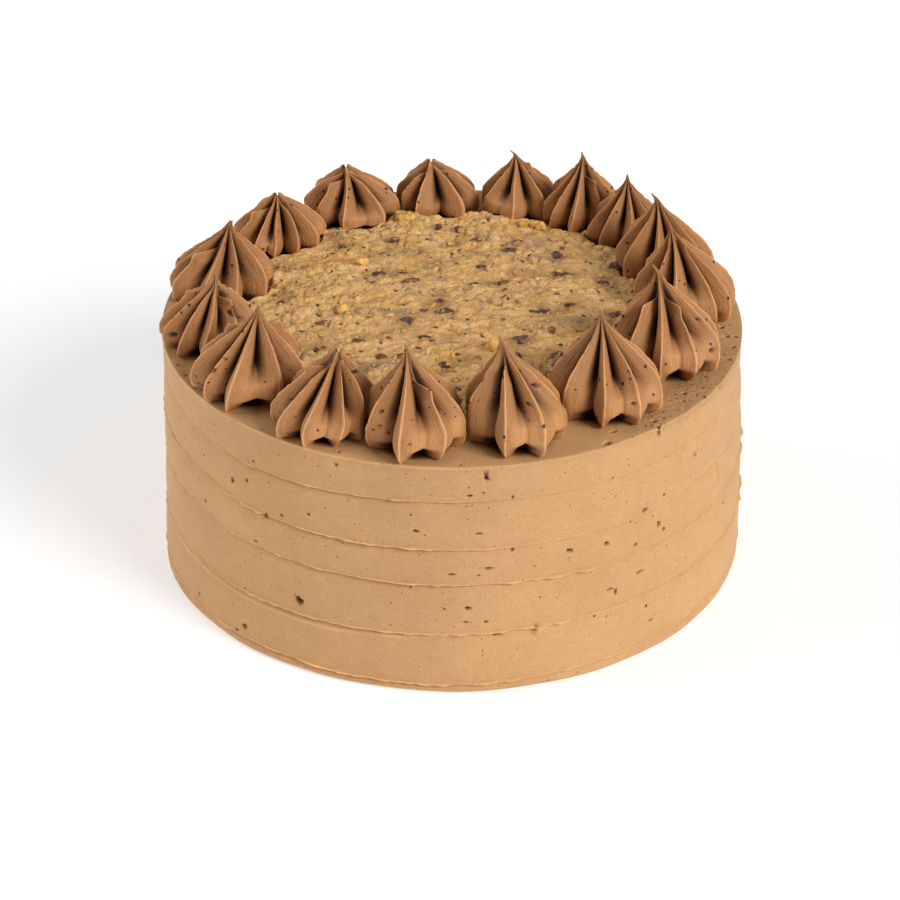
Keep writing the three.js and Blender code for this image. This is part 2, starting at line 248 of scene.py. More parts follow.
# Torn holes in the dollops: dollop, place between crests counted round from the first,
# share of the height, and half width and half height in millimetres.
DOLLOP_HOLES = [
    (6, 3.8, 0.26, 0.9, 0.8),
    (6, 3.93, 0.52, 0.4, 0.5),
    (7, 2.97, 0.52, 0.3, 0.5),
    (7, 2.85, 0.28, 0.8, 0.5),
    (7, 3.4, 0.40, 0.4, 0.3),
    (8, 2.59, 0.55, 0.4, 1.5),
    (8, 3.85, 0.54, 0.4, 0.7),
    (8, 2.85, 0.48, 0.4, 0.5),
    (8, 1.6, 0.30, 0.3, 0.3),
    (9, 1.16, 0.43, 0.35, 0.5),
    (9, 1.24, 0.31, 0.35, 0.3),
    (9, 2.2, 0.25, 0.3, 0.3),
    (10, 4.93, 0.70, 0.8, 0.5),
    (10, 0.33, 0.41, 0.35, 0.3),
    (10, 1.3, 0.34, 0.3, 0.3),
    (11, 2.01, 0.41, 0.6, 0.7),
    (11, 2.12, 0.51, 0.3, 0.4),
    (11, 1.16, 0.12, 0.5, 0.4),
    (11, 6.1, 0.55, 0.8, 0.7),
    (12, 1.24, 0.26, 1.1, 0.9),
    (12, 3.97, 0.58, 0.7, 1.0),
    (12, 4.7, 0.42, 0.4, 0.5),
    (13, 1.2, 0.5, 0.4, 0.4),
]

TOPPING_THICKNESS = 5.0 * MM
# How deep the topping's edge is sunk, the width of its edge, and points along a side.
TOPPING_SUNK = 0.3 * MM
TOPPING_EDGE = 3.0 * MM
TOPPING_POINTS = 300
CHUNK_SIZE = 4.4 * MM
# Larger bits of pecan in the topping: place in millimetres right of and behind the
# middle, then length and width in millimetres, and the way it lies in degrees.
DARK_BITS = [
    (-41, 43, 5.5, 2.6, -35),
    (-23, 47, 5.0, 3.4, 5),
    (-6, 60, 4.4, 3.2, 60),
    (-13, 38, 4.6, 3.0, 10),
    (-27, 24, 5.4, 3.0, 0),
    (-66, 29, 6.0, 2.8, 10),
    (-60, 1, 4.6, 2.6, 20),
    (-17, -15, 6.6, 5.2, 15),
    (-3, -9, 4.6, 4.4, 70),
    (-5, 2, 4.0, 2.4, 20),
    (-10, -26, 4.6, 2.2, 10),
    (-3, -45, 4.6, 3.0, -20),
    (2, 58, 5.0, 4.2, -50),
    (8, 49, 4.6, 3.2, 10),
    (23, 46, 5.6, 4.4, 20),
    (21, 40, 5.2, 3.4, -20),
    (38, 38, 5.6, 2.8, 0),
    (10, 27, 4.6, 3.0, -10),
    (39, 23, 6.4, 1.8, 5),
    (60, 28, 6.0, 3.4, -10),
    (54, 15, 4.6, 2.6, -30),
    (42, -1, 5.0, 2.2, -10),
    (32, -6, 5.2, 3.6, 10),
    (58, -8, 5.4, 3.8, 20),
    (23, -28, 6.6, 4.6, 35),
    (36, -38, 7.6, 4.6, 20),
    (29, -53, 8.6, 1.8, 12),
    (21, -39, 3.8, 3.2, 20),
    (-47, -33, 6.4, 4.6, 10),
]
RED_BITS = [
    (-16, 16, 8.0, 4.0, 20),
    (-46, -17, 7.6, 3.2, 28),
    (-34, -28, 6.2, 4.2, 0),
    (-25, -39, 5.2, 4.4, -10),
    (-18, -38, 4.0, 2.6, 40),
    (18, 15, 4.6, 3.2, 10),
    (33, -22, 5.6, 3.2, 0),
]
GOLDEN_BITS = [
    (-18, 68, 6.0, 4.6, 10),
    (-21, 67, 5.0, 4.0, 60),
    (26, 62, 5.2, 4.4, 0),
    (30, 62, 4.6, 4.0, 40),
    (33, 60, 3.8, 3.4, 80),
    (14, -36, 5.4, 4.6, 10),
    (47, -31, 5.0, 4.4, 0),
    (49, -22, 4.6, 3.6, 20),
    (-40, -6, 4.6, 4.0, 10),
    (-34, 30, 5.0, 4.6, 0),
]
# Points tried for each square metre before the ones too close together are left out.
SCATTER_DENSITY = 2e6
# What is scattered over the topping: its name and material, the space it keeps in
# millimetres, its smallest and largest half sizes in millimetres, how far it may tilt in
# radians, and its own part of the seed.
SCATTERED = [
    ("coconut_grains", "pale", 5.0, (0.5, 0.4, 0.25), (1.5, 1.0, 0.5), 0.3, 1),
    ("golden_grains", "gold", 9.0, (0.7, 0.6, 0.35), (2.0, 1.5, 0.6), 0.3, 2),
    ("pecan_crumbs", "dark", 14.0, (0.7, 0.6, 0.2), (2.2, 1.3, 0.35), 0.2, 3),
    ("skin_crumbs", "red", 12.0, (0.6, 0.5, 0.2), (2.0, 1.2, 0.35), 0.2, 4),
]


class IcingSettings(bpy.types.PropertyGroup):
    side_radius: FloatProperty(
        name="Side Radius", description="Radius of the iced side at the foot",
        default=107.4 * MM, unit="LENGTH",
    )
    side_taper: FloatProperty(
        name="Side Taper", description="How far the side leans in from foot to rim",
        default=2.6 * MM, unit="LENGTH",
    )
    shift_foot: FloatProperty(
        name="Shift at Foot", description="How far the foot stands to the right",
        default=0.6 * MM, unit="LENGTH",
    )
    shift_top: FloatProperty(
        name="Shift at Top", description="How far the rim stands to the right",
        default=-0.8 * MM, unit="LENGTH",
    )
    rim_radius: FloatProperty(
        name="Rim Rounding", description="Radius that rounds the top edge",
        default=1.5 * MM, unit="LENGTH",
    )
    band_bulge: FloatProperty(
        name="Band Bulge", description="How far each scraped band bulges",
        default=0.75 * MM, unit="LENGTH",
    )
    crease_depth: FloatProperty(
        name="Crease Depth", description="How far the side steps in under a lip",
        default=0.95 * MM, unit="LENGTH",
    )
    lip_height: FloatProperty(
        name="Lip Height", description="How far the ragged lip of a band stands out",
        default=0.85 * MM, unit="LENGTH",
    )
    colour: FloatVectorProperty(
        name="Icing Colour", description="Pale chocolate icing of the side",
        subtype="COLOR", size=4, default=(0.60, 0.338, 0.146, 1.0),
    )
    # Painted shade inside holes and tears.
    hole_shade_colour: FloatVectorProperty(
        name="Hole Colour", description="Shaded icing inside holes and tears",
        subtype="COLOR", size=4, default=(0.065, 0.026, 0.012, 1.0),
    )


class ToppingSettings(bpy.types.PropertyGroup):
    radius: FloatProperty(
        name="Topping Radius", description="How far the topping is spread",
        default=78.5 * MM, unit="LENGTH",
    )
    doming: FloatProperty(
        name="Doming", description="How much higher its middle is than its edge",
        default=0.8 * MM, unit="LENGTH",
    )
    roughness: FloatProperty(
        name="Knobs", description="Height of the knobs of coconut",
        default=1.5 * MM, unit="LENGTH",
    )
    stroke_angle: FloatProperty(
        name="Stroke Direction", description="Direction that the topping was spread in",
        default=math.radians(24), subtype="ANGLE",
    )
    grains: IntProperty(
        name="Grain Seed", description="Seed of the scattered grains and shreds", default=7
    )
    colour: FloatVectorProperty(
        name="Topping Colour", description="Golden coconut spread",
        subtype="COLOR", size=4, default=(0.69, 0.396, 0.147, 1.0),
    )


class DollopSettings(bpy.types.PropertyGroup):
    fins: IntProperty(name="Fins", description="Points of the piping star", default=9)
    twist: FloatProperty(
        name="Twist", description="How far the fins turn from foot to tip",
        default=math.radians(12), subtype="ANGLE",
    )
    fin_stray: FloatProperty(
        name="Fin Stray", description="How far a crest sways on its way up",
        default=math.radians(4.0), subtype="ANGLE",
    )
    sink: FloatProperty(
        name="Sink", description="How deep a dollop is pressed into the icing",
        default=0.4 * MM, unit="LENGTH",
    )
    colour: FloatVectorProperty(
        name="Dollop Colour", description="Piped chocolate icing",
        subtype="COLOR", size=4, default=(0.435, 0.200, 0.074, 1.0),
    )


class StageSettings(bpy.types.PropertyGroup):
    camera_distance: FloatProperty(
        name="Camera Distance", description="From the camera to the point it looks at",
        default=0.890, unit="LENGTH",
    )
    camera_elevation: FloatProperty(
        name="Camera Elevation", description="How far the camera looks down",
        default=math.radians(31.62), subtype="ANGLE",
    )
    target: FloatVectorProperty(
        name="Looked At", description="The point that the camera looks at",
        subtype="XYZ", unit="LENGTH", default=(-1.5 * MM, 0.0, 32.73 * MM),
    )
    lens: FloatProperty(
        name="Lens", description="Focal length in millimetres on a 36 mm sensor",
        default=96.0,
    )
    floor_size: FloatProperty(
        name="Floor Size", description="Width of the pale floor", default=8.0, unit="LENGTH"
    )
    floor_colour: FloatVectorProperty(
        name="Floor Colour", description="Pale studio floor",
        subtype="COLOR", size=4, default=(0.62, 0.62, 0.62, 1.0),
    )
    overhead_light: FloatProperty(
        name="Overhead Light", description="Strength of the light from above", default=0.42
    )
    key_light: FloatProperty(
        name="Key Light", description="Strength of the light from the right", default=2.78
    )
    fill_light: FloatProperty(
        name="Fill Light", description="Strength of the light from the left", default=1.6
    )
    world_strength: FloatProperty(
        name="Room Light", description="Strength of the even light all round", default=0.16
    )


def smooth_step(value):
    """Eases from 0 to 1 with a value, flat at both ends."""
    part = np.clip(value, 0.0, 1.0)
    return part * part * (3.0 - 2.0 * part)


def hump(value, width):
    """1 where a value is 0, falling to 0 on both sides."""
    return np.exp(-((value / width) ** 2))


def round_grid(rows, count):
    """Numbers of the points in rings of count points, and those of each next one round."""
    index = np.arange(rows * count).reshape(rows, count)
    return index, np.roll(index, -1, axis=1)


def lattice_noise(points, cell, seed):
    """Smooth random values from -1 to 1 at points, with a new value every cell."""
    place = np.asarray(points, float) / cell
    corner = np.floor(place).astype(np.int64)
    part = place - corner
    part = part * part * (3.0 - 2.0 * part)
    total = np.zeros(len(place))
    for step in range(8):
        offset = np.array([step & 1, (step >> 1) & 1, (step >> 2) & 1])
        key = (corner + offset) @ np.array([374761393, 668265263, 1274126177])
        key = (key + seed * 144665) & 0xFFFFFFFF
        key = ((key ^ (key >> 13)) * 1274126177) & 0xFFFFFFFF
        key = ((key ^ (key >> 15)) * 668265263) & 0xFFFFFFFF
        value = ((key ^ (key >> 16)) & 0xFFFF) / 32767.5 - 1.0
        weight = np.prod(np.where(offset == 1, part, 1.0 - part), axis=1)
        total += weight * value
    return total


def layered_noise(points, cell, seed, layers=3):
    """Noise with finer and fainter layers added."""
    total = np.zeros(len(points))
    strength = 1.0
    for layer in range(layers):
        total += strength * lattice_noise(points, cell / 2**layer, seed + 17 * layer)
        strength *= 0.5
    return total


def smooth_curve(x, knots, values):
    """A smooth curve through a few points."""
    knots = np.asarray(knots, float)
    values = np.asarray(values, float)
    slopes = np.gradient(values, knots)
    index = np.clip(np.searchsorted(knots, x, side="right") - 1, 0, len(knots) - 2)
    width = knots[index + 1] - knots[index]
    s = np.clip((x - knots[index]) / width, 0.0, 1.0)
    h00 = (1 + 2 * s) * (1 - s) ** 2
    h10 = s * (1 - s) ** 2
    h01 = s * s * (3 - 2 * s)
    h11 = s * s * (s - 1)
    rise = h10 * slopes[index] + h11 * slopes[index + 1]
    return h00 * values[index] + h01 * values[index + 1] + width * rise


def add_object(name, mesh):
    piece = bpy.data.objects.new(name, mesh)
    bpy.context.scene.collection.objects.link(piece)
    return piece


def shade_smooth(mesh):
    mesh.polygons.foreach_set("use_smooth", np.ones(len(mesh.polygons), bool))
    mesh.update()


def store_value(mesh, name, values):
    """Keeps a number at each vertex for a material to read."""
    layer = mesh.attributes.new(name, "FLOAT", "POINT")
    layer.data.foreach_set("value", np.asarray(values, np.float32))


def mesh_points(mesh):
    points = np.empty(len(mesh.vertices) * 3)
    mesh.vertices.foreach_get("co", points)
    return points.reshape(-1, 3)


def move_points(mesh, points):
    mesh.vertices.foreach_set("co", np.asarray(points, float).ravel())
    mesh.update()


def loft_mesh(name, rings, bottom, top):
    """A closed mesh through rings of points that run anticlockwise seen from above."""
    rows, count, _ = rings.shape
    points = np.vstack([rings.reshape(-1, 3), [bottom], [top]])
    index, turned = round_grid(rows, count)
    quads = np.stack([index[:-1], turned[:-1], turned[1:], index[1:]], axis=-1)
    faces = quads.reshape(-1, 4).tolist()
    low = rows * count
    faces += [(low, int(b), int(a)) for a, b in zip(index[0], turned[0])]
    faces += [(low + 1, int(a), int(b)) for a, b in zip(index[-1], turned[-1])]
    mesh = bpy.data.meshes.new(name)
    mesh.from_pydata(points.tolist(), [], faces)
    return mesh


def finish_piece(piece, material, slot, *nodes):
    """Gives a piece its material and its body, and hides the solids it stands for. The
    slot it is given is not used.
    """
    piece.data.materials.clear()
    piece.data.materials.append(material)
    shade_smooth(piece.data)
    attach(piece, BODY)
    if nodes:
        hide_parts(*nodes)
    return piece


class Nodes:
    """Short ways to add and join the nodes of one tree."""

    def __init__(self, tree):
        self.tree = tree

    def add(self, kind, settings=None, **inputs):
        node = self.tree.nodes.new(kind)
        for name, value in (settings or {}).items():
            setattr(node, name, value)
        for name, value in inputs.items():
            self.feed(node, name.replace("_", " "), value)
        return node

    def feed(self, node, name, value):
        socket = node.inputs[int(name[1:])] if name[0] == "i" and name[1:].isdigit() else (
            node.inputs[name]
        )
        if isinstance(value, bpy.types.NodeSocket):
            self.tree.links.new(value, socket)
        else:
            socket.default_value = value

    def maths(self, operation, a, b):
        node = self.add("ShaderNodeMath", {"operation": operation})
        self.feed(node, "i0", a)
        self.feed(node, "i1", b)
        return node.outputs[0]

    def times(self, a, b):
        return self.maths("MULTIPLY", a, b)

    def total(self, first, *others):
        """Adds values that each come with the share of it to add."""
        value, share = first
        result = self.times(value, share)
        for value, share in others:
            result = self.maths("ADD", result, self.times(value, share))
        return result

    def ramp(self, value, low, high, start=0.0, end=1.0):
        """Takes a value from low to high smoothly to start to end."""
        node = self.add("ShaderNodeMapRange", {"interpolation_type": "SMOOTHSTEP"})
        for name, number in (
            ("Value", value), ("From Min", low), ("From Max", high),
            ("To Min", start), ("To Max", end),
        ):
            self.feed(node, name, number)
        return node.outputs["Result"]

    def mix(self, factor, a, b, blend="MIX"):
        node = self.add("ShaderNodeMix", {"data_type": "RGBA", "blend_type": blend})
        self.feed(node, "i0", factor)
        self.feed(node, "i6", a)
        self.feed(node, "i7", b)
        return node.outputs[2]

    def tinted(self, colour, tint):
        """A colour times another, given without its alpha or as a socket."""
        if isinstance(tint, tuple):
            tint = (*tint, 1.0)
        return self.mix(1.0, colour, tint, "MULTIPLY")

    def speckled(self, colour, value, low, high, dark, light):
        """A colour made darker and lighter where a value goes from low to high."""
        shade = self.mix(self.ramp(value, low, high), (*dark, 1.0), (*light, 1.0))
        return self.tinted(colour, shade)

    def noise(self, vector, scale, detail=2.0, roughness=0.5):
        node = self.add(
            "ShaderNodeTexNoise",
            Vector=vector, Scale=scale, Detail=detail, Roughness=roughness,
        )
        return node.outputs["Fac"]

    def attribute(self, name):
        node = self.add("ShaderNodeAttribute", {"attribute_name": name})
        return node.outputs["Fac"]

    def stretched(self, vector, scale, turn=0.0):
        node = self.add("ShaderNodeMapping", Vector=vector)
        node.inputs["Rotation"].default_value = (0.0, 0.0, turn)
        node.inputs["Scale"].default_value = scale
        return node.outputs[0]

    def shaken(self, vector, scale, detail, reach):
        """Places moved about a little by noise, so that cells in them are uneven."""
        wave = self.add("ShaderNodeTexNoise", Vector=vector, Scale=scale, Detail=detail)
        node = self.add("ShaderNodeVectorMath", {"operation": "MULTIPLY_ADD"})
        self.feed(node, "i0", wave.outputs["Color"])
        node.inputs[1].default_value = (reach, reach, reach)
        self.feed(node, "i2", vector)
        return node.outputs[0]

    def cells(self, vector, scale):
        """Random cells: the distance to their middles, and two random shares of each."""
        node = self.add("ShaderNodeTexVoronoi", Vector=vector, Scale=scale)
        split = self.add("ShaderNodeSeparateColor", Color=node.outputs["Color"])
        return node.outputs["Distance"], split.outputs[0], split.outputs[1]

    def group(self, tree, **inputs):
        return self.add("ShaderNodeGroup", {"node_tree": tree}, **inputs).outputs


def new_group(name, inputs, outputs):
    """A shader node group with named sockets, its inputs, and its output node."""
    tree = bpy.data.node_groups.new(name, "ShaderNodeTree")
    for label, kind, default in inputs:
        socket = tree.interface.new_socket(label, in_out="INPUT", socket_type=kind)
        if default is not None:
            socket.default_value = default
    for label, kind in outputs:
        tree.interface.new_socket(label, in_out="OUTPUT", socket_type=kind)
    nodes = Nodes(tree)
    return nodes, nodes.add("NodeGroupInput").outputs, nodes.add("NodeGroupOutput")


def pore_group():
    """Scattered air holes: 1 in a hole, 0 elsewhere."""
    group = bpy.data.node_groups.get("Air Holes")
    if group:
        return group
    nodes, given, result = new_group(
        "Air Holes",
        [
            ("Vector", "NodeSocketVector", None),
            ("Scale", "NodeSocketFloat", 250.0),
            ("Share", "NodeSocketFloat", 0.2),
            ("Size", "NodeSocketFloat", 0.28),
        ],
        [("Mask", "NodeSocketFloat")],
    )
    place = nodes.shaken(given["Vector"], 900.0, 2.0, 0.9 * MM)
    away, chance, growth = nodes.cells(place, given["Scale"])
    chosen = nodes.maths("LESS_THAN", chance, given["Share"])
    size = nodes.times(given["Size"], nodes.ramp(growth, 0, 1, 0.35, 1))
    hole = nodes.ramp(away, nodes.times(size, 0.6), size, 1.0, 0.0)
    nodes.feed(result, "Mask", nodes.times(hole, chosen))
    return nodes.tree


def icing_group():
    """Whipped icing: colour mottling, fine grain and height for its bump."""
    group = bpy.data.node_groups.get("Whipped Icing")
    if group:
        return group
    nodes, given, result = new_group(
        "Whipped Icing",
        [
            ("Vector", "NodeSocketVector", None),
            ("Colour", "NodeSocketColor", (0.6, 0.35, 0.17, 1)),
            ("Mottling", "NodeSocketFloat", 0.5),
        ],
        [("Colour", "NodeSocketColor"), ("Height", "NodeSocketFloat")],
    )
    place = given["Vector"]
    patches = nodes.noise(place, 28.0, 3.0, 0.55)
    grain = nodes.noise(place, 1500.0, 3.0, 0.7)
    fine = nodes.noise(place, 240.0, 3.0, 0.6)
    mottled = nodes.speckled(
        given["Colour"], patches, 0.3, 0.72, (0.86, 0.83, 0.8), (1.06, 1.07, 1.09)
    )
    colour = nodes.mix(given["Mottling"], given["Colour"], mottled)
    colour = nodes.speckled(colour, fine, 0.35, 0.75, (0.975, 0.97, 0.965), (1.02, 1.02, 1.025))
    colour = nodes.speckled(colour, grain, 0.3, 0.7, (0.92, 0.915, 0.91), (1.07, 1.075, 1.08))
    nodes.feed(result, "Colour", colour)
    nodes.feed(result, "Height", nodes.total((grain, 1.2), (fine, 0.5)))
    return nodes.tree


def new_material(name):
    material = bpy.data.materials.new(name)
    material.use_nodes = True
    material.node_tree.nodes.clear()
    nodes = Nodes(material.node_tree)
    shader = nodes.add("ShaderNodeBsdfPrincipled")
    output = nodes.add("ShaderNodeOutputMaterial")
    material.node_tree.links.new(shader.outputs[0], output.inputs[0])
    place = nodes.add("ShaderNodeTexCoord").outputs["Object"]
    return material, nodes, shader, place


def add_bump(nodes, shader, height, distance):
    bump = nodes.add("ShaderNodeBump", Height=height)
    bump.inputs["Distance"].default_value = distance
    bump.inputs["Strength"].default_value = 1.0
    nodes.feed(shader, "Normal", bump.outputs[0])


def set_gloss(shader, roughness, specular):
    shader.inputs["Roughness"].default_value = roughness
    shader.inputs["Specular IOR Level"].default_value = specular


def set_soft(shader, weight, scale):
    """Lets light sink into a piece a little, as it does in fat and sugar."""
    shader.inputs["Subsurface Weight"].default_value = weight
    shader.inputs["Subsurface Radius"].default_value = (1.0, 0.5, 0.25)
    shader.inputs["Subsurface Scale"].default_value = scale


def air_holes(nodes, place, scale, share, size):
    return nodes.group(pore_group(), Vector=place, Scale=scale, Share=share, Size=size)[0]


def side_holes(nodes, place, torn):
    """Where the side has air holes: large ones, fainter small ones and torn crumbs."""
    large = air_holes(nodes, place, 210.0, 0.10, 0.16)
    small = air_holes(nodes, place, 520.0, 0.2, 0.2)
    crumbs = air_holes(nodes, place, 430.0, 0.5, 0.34)
    holes = nodes.maths("MAXIMUM", large, nodes.times(small, 0.6))
    return nodes.maths("MAXIMUM", holes, nodes.times(crumbs, torn))


def side_colour(nodes, icing, holes, hole_shade_colour):
    """Icing with a painted highlight on its lips, and painted shade in its creases,
    in its holes and under the dollops.
    """
    # Painted highlight on the lips, then painted shade in the creases.
    colour = nodes.mix(nodes.attribute("lip"), icing, nodes.tinted(icing, (1.45, 1.52, 1.56)))
    crease_shaded = nodes.tinted(colour, (0.5, 0.4, 0.33))
    colour = nodes.mix(nodes.attribute("crease_shade"), colour, crease_shaded)
    # Painted shade in the air holes, torn crumbs and listed pits.
    colour = nodes.mix(nodes.times(holes, 0.75), colour, hole_shade_colour)
    colour = nodes.mix(nodes.attribute("pit_shade"), colour, hole_shade_colour)
    # Painted shade, near black, under the dollops' feet.
    shaded = nodes.tinted(colour, (0.14, 0.1, 0.08))
    return nodes.mix(nodes.attribute("under"), colour, shaded)


def side_material(settings):
    material, nodes, shader, place = new_material("side icing")
    icing = nodes.group(
        icing_group(), Vector=place, Colour=tuple(settings.colour), Mottling=0.45
    )
    torn = nodes.attribute("torn")
    holes = side_holes(nodes, place, torn)
    colour = side_colour(nodes, icing["Colour"], holes, tuple(settings.hole_shade_colour))
    nodes.feed(shader, "Base Color", colour)
    set_gloss(shader, 0.6, 0.25)
    set_soft(shader, 0.08, 1.0 * MM)
    strokes = nodes.noise(nodes.stretched(place, (35, 35, 900)), 1.0, 3.0, 0.6)
    rough = nodes.times(nodes.noise(place, 600.0, 4.0, 0.7), torn)
    height = nodes.total((icing["Height"], 0.5), (strokes, 0.5), (rough, 3.0), (holes, -2.2))
    add_bump(nodes, shader, height, 0.44 * MM)
    return material


def dollop_colour(nodes, icing, lines, holes):
    """Icing with drawn streaks, a painted highlight on its crests, and painted shade in
    its grooves and holes.
    """
    colour = nodes.speckled(icing, lines, 0.35, 0.65, (0.94, 0.93, 0.92), (1.06, 1.07, 1.08))
    # Painted highlight along the crests.
    lit = nodes.tinted(colour, (1.85, 2.0, 2.1))
    colour = nodes.mix(nodes.attribute("crest"), colour, lit)
    # Painted shade in the grooves, at the foot and underneath.
    shaded = nodes.tinted(colour, (0.07, 0.055, 0.05))
    colour = nodes.mix(nodes.attribute("groove"), colour, shaded)
    # Painted shade in the air holes.
    return nodes.mix(nodes.times(holes, 0.95), colour, (0.05, 0.018, 0.008, 1))


def dollop_material(settings):
    material, nodes, shader, place = new_material("dollop icing")
    icing = nodes.group(
        icing_group(), Vector=place, Colour=tuple(settings.colour), Mottling=0.5
    )
    holes = air_holes(nodes, place, 380.0, 0.3, 0.26)
    along = nodes.add("ShaderNodeUVMap", {"uv_map": "drawn"}).outputs[0]
    lines = nodes.noise(nodes.stretched(along, (160, 5, 1)), 1.0, 2.0, 0.55)
    nodes.feed(shader, "Base Color", dollop_colour(nodes, icing["Colour"], lines, holes))
    set_gloss(shader, 0.55, 0.25)
    set_soft(shader, 0.06, 0.8 * MM)
    height = nodes.total((icing["Height"], 0.5), (lines, 1.3), (holes, -2.5))
    add_bump(nodes, shader, height, 0.28 * MM)
    return material


def chunk_colours(nodes, base, place, shaken, flake_pick):
    """Paste with broad golden patches, pale and golden chunks and pale flakes."""
    pale = nodes.tinted(base, (1.2, 1.34, 1.45))
    gold = nodes.tinted(base, (0.95, 0.84, 0.52))
    _, pick, _ = nodes.cells(shaken, 230.0)
    broad = nodes.noise(place, 45.0, 3.0, 0.6)
    colour = nodes.mix(nodes.ramp(broad, 0.48, 0.66, 0.0, 0.55), base, gold)
    colour = nodes.mix(nodes.ramp(pick, 0.55, 0.75, 0.0, 0.45), colour, pale)
    colour = nodes.mix(nodes.ramp(pick, 0.0, 0.16, 0.4, 0.0), colour, gold)
    return nodes.mix(nodes.ramp(flake_pick, 0.82, 0.92, 0.0, 0.3), colour, pale), pale


def smeared(nodes, colour, pale, shaken):
    """Grey-brown and pale smears along the strokes, and clear sticky patches."""
    along = nodes.stretched(shaken, (26, 95, 80), math.radians(-20))
    smear = nodes.noise(along, 1.0, 4.0, 0.6)
    colour = nodes.mix(nodes.ramp(smear, 0.54, 0.68, 0.0, 0.6), colour, (0.29, 0.2, 0.125, 1))
    colour = nodes.mix(nodes.ramp(smear, 0.32, 0.46, 0.7, 0.0), colour, pale)
    clear = nodes.noise(shaken, 130.0, 2.0, 0.5)
    return nodes.mix(nodes.ramp(clear, 0.56, 0.66, 0.0, 0.35), colour, (0.34, 0.23, 0.13, 1))


def paste_group():
    """Sticky coconut paste: the colour of its chunks and smears, and their height."""
    group = bpy.data.node_groups.get("Coconut Paste")
    if group:
        return group
    nodes, given, result = new_group(
        "Coconut Paste",
        [("Vector", "NodeSocketVector", None), ("Colour", "NodeSocketColor", (0.5, 0.3, 0.1, 1))],
        [("Colour", "NodeSocketColor"), ("Height", "NodeSocketFloat")],
    )
    place = given["Vector"]
    shaken = nodes.shaken(place, 300.0, 3.0, 3.0 * MM)
    flake, flake_pick, _ = nodes.cells(shaken, 520.0)
    colour, pale = chunk_colours(nodes, given["Colour"], place, shaken, flake_pick)
    colour = smeared(nodes, colour, pale, shaken)
    crumb = nodes.noise(place, 330.0, 4.0, 0.6)
    brown = nodes.tinted(given["Colour"], (0.55, 0.46, 0.4))
    colour = nodes.mix(nodes.ramp(crumb, 0.56, 0.7, 0.0, 0.35), colour, brown)
    fine = nodes.noise(place, 1100.0, 2.0, 0.6)
    colour = nodes.speckled(colour, fine, 0.32, 0.7, (0.9, 0.88, 0.85), (1.07, 1.08, 1.1))
    nodes.feed(result, "Colour", colour)
    nodes.feed(result, "Height", nodes.total((fine, 0.7), (crumb, -1.1), (flake, -0.6)))
    return nodes.tree


def topping_material(settings):
    material, nodes, shader, place = new_material("coconut spread")
    paste = nodes.group(paste_group(), Vector=place, Colour=tuple(settings.colour))
    stained = nodes.tinted(paste["Colour"], (0.62, 0.52, 0.45))
    colour = nodes.mix(nodes.times(nodes.attribute("stain"), 0.8), paste["Colour"], stained)
    # Painted shade in the topping's hollows.
    dark = nodes.tinted(colour, (0.5, 0.38, 0.26))
    nodes.feed(shader, "Base Color", nodes.mix(nodes.attribute("hollow_shade"), colour, dark))
    wet = nodes.noise(place, 260.0, 2.0, 0.6)
    nodes.feed(shader, "Roughness", nodes.ramp(wet, 0.35, 0.65, 0.36, 0.64))
    set_soft(shader, 0.2, 1.2 * MM)
    add_bump(nodes, shader, paste["Height"], 0.6 * MM)
    return material


def nut_material(name, outer, inner, roughness, covered):
    """Chopped nut: skin, paler broken flesh, fine wrinkles and smears of paste over it."""
    material, nodes, shader, place = new_material(name)
    skin = nodes.noise(place, 420.0, 4.0, 0.65)
    flesh = nodes.noise(place, 230.0, 3.0, 0.6)
    colour = nodes.mix(nodes.ramp(flesh, 0.46, 0.62, 0.0, 0.85), (*outer, 1.0), (*inner, 1.0))
    colour = nodes.speckled(colour, skin, 0.3, 0.7, (0.55, 0.55, 0.55), (1.3, 1.3, 1.3))
    paste_colour = tuple(bpy.context.scene.cake_topping.colour)
    paste = nodes.group(paste_group(), Vector=place, Colour=paste_colour)
    film = nodes.noise(place, 330.0, 3.0, 0.6)
    film = nodes.ramp(film, 0.62 - covered, 0.72 - covered, 0.0, 0.85)
    nodes.feed(shader, "Base Color", nodes.mix(film, colour, paste["Colour"]))
    set_gloss(shader, roughness, 0.25)
    add_bump(nodes, shader, nodes.maths("ADD", skin, film), 0.3 * MM)
    return material


def ridge_wander(ridge, bearing):
    """How far a crease rises and falls on its way round the cake."""
    turn = np.radians(bearing)
    long = np.sin(2 * turn + 1.9 * ridge)
    short = 0.5 * np.sin(5 * turn + 0.7 * ridge)
    return RIDGE_WANDER * (long + short)


def side_rows():
    """Heights of the rows of points up the side, close together at the creases."""
    creases = [ridge["height"] for ridge in RIDGES]
    high = TOP_HEIGHT - TOP_ROW_BELOW
    rows = [0.0]
    for crease_shade in creases:
        rows += [crease_shade + step * MM for step in RIDGE_ROWS_MM]
    rows += [creases[1] - step * MM for step in SECOND_LINE_ROWS_MM]
    rows = [row for row in rows if row >= 0.0]
    for low, top in zip([0.0, *creases], [*creases, high]):
        first = low + (RIDGE_ROWS_MM[-1] if low > 0 else 0.4) * MM
        last = top + (RIDGE_ROWS_MM[0] if top < high else 0.0) * MM
        steps = max(1, round((last - first) / ROW_STEP))
        rows += list(np.linspace(first, last, steps + 1)[1:-1])
    rows = sorted(row for row in rows if row < high - 0.3 * MM)
    kept = [rows[0]]
    for row in rows[1:]:
        if row - kept[-1] > LEAST_ROW_STEP:
            kept.append(row)
    return np.array(kept)


def side_bearings():
    """Bearings of the columns of points, closer together at the front than behind."""
    front = np.arange(-195.0, 15.0, 0.6)
    back = np.arange(15.0, 165.0, 1.25)
    return np.concatenate([front, back])


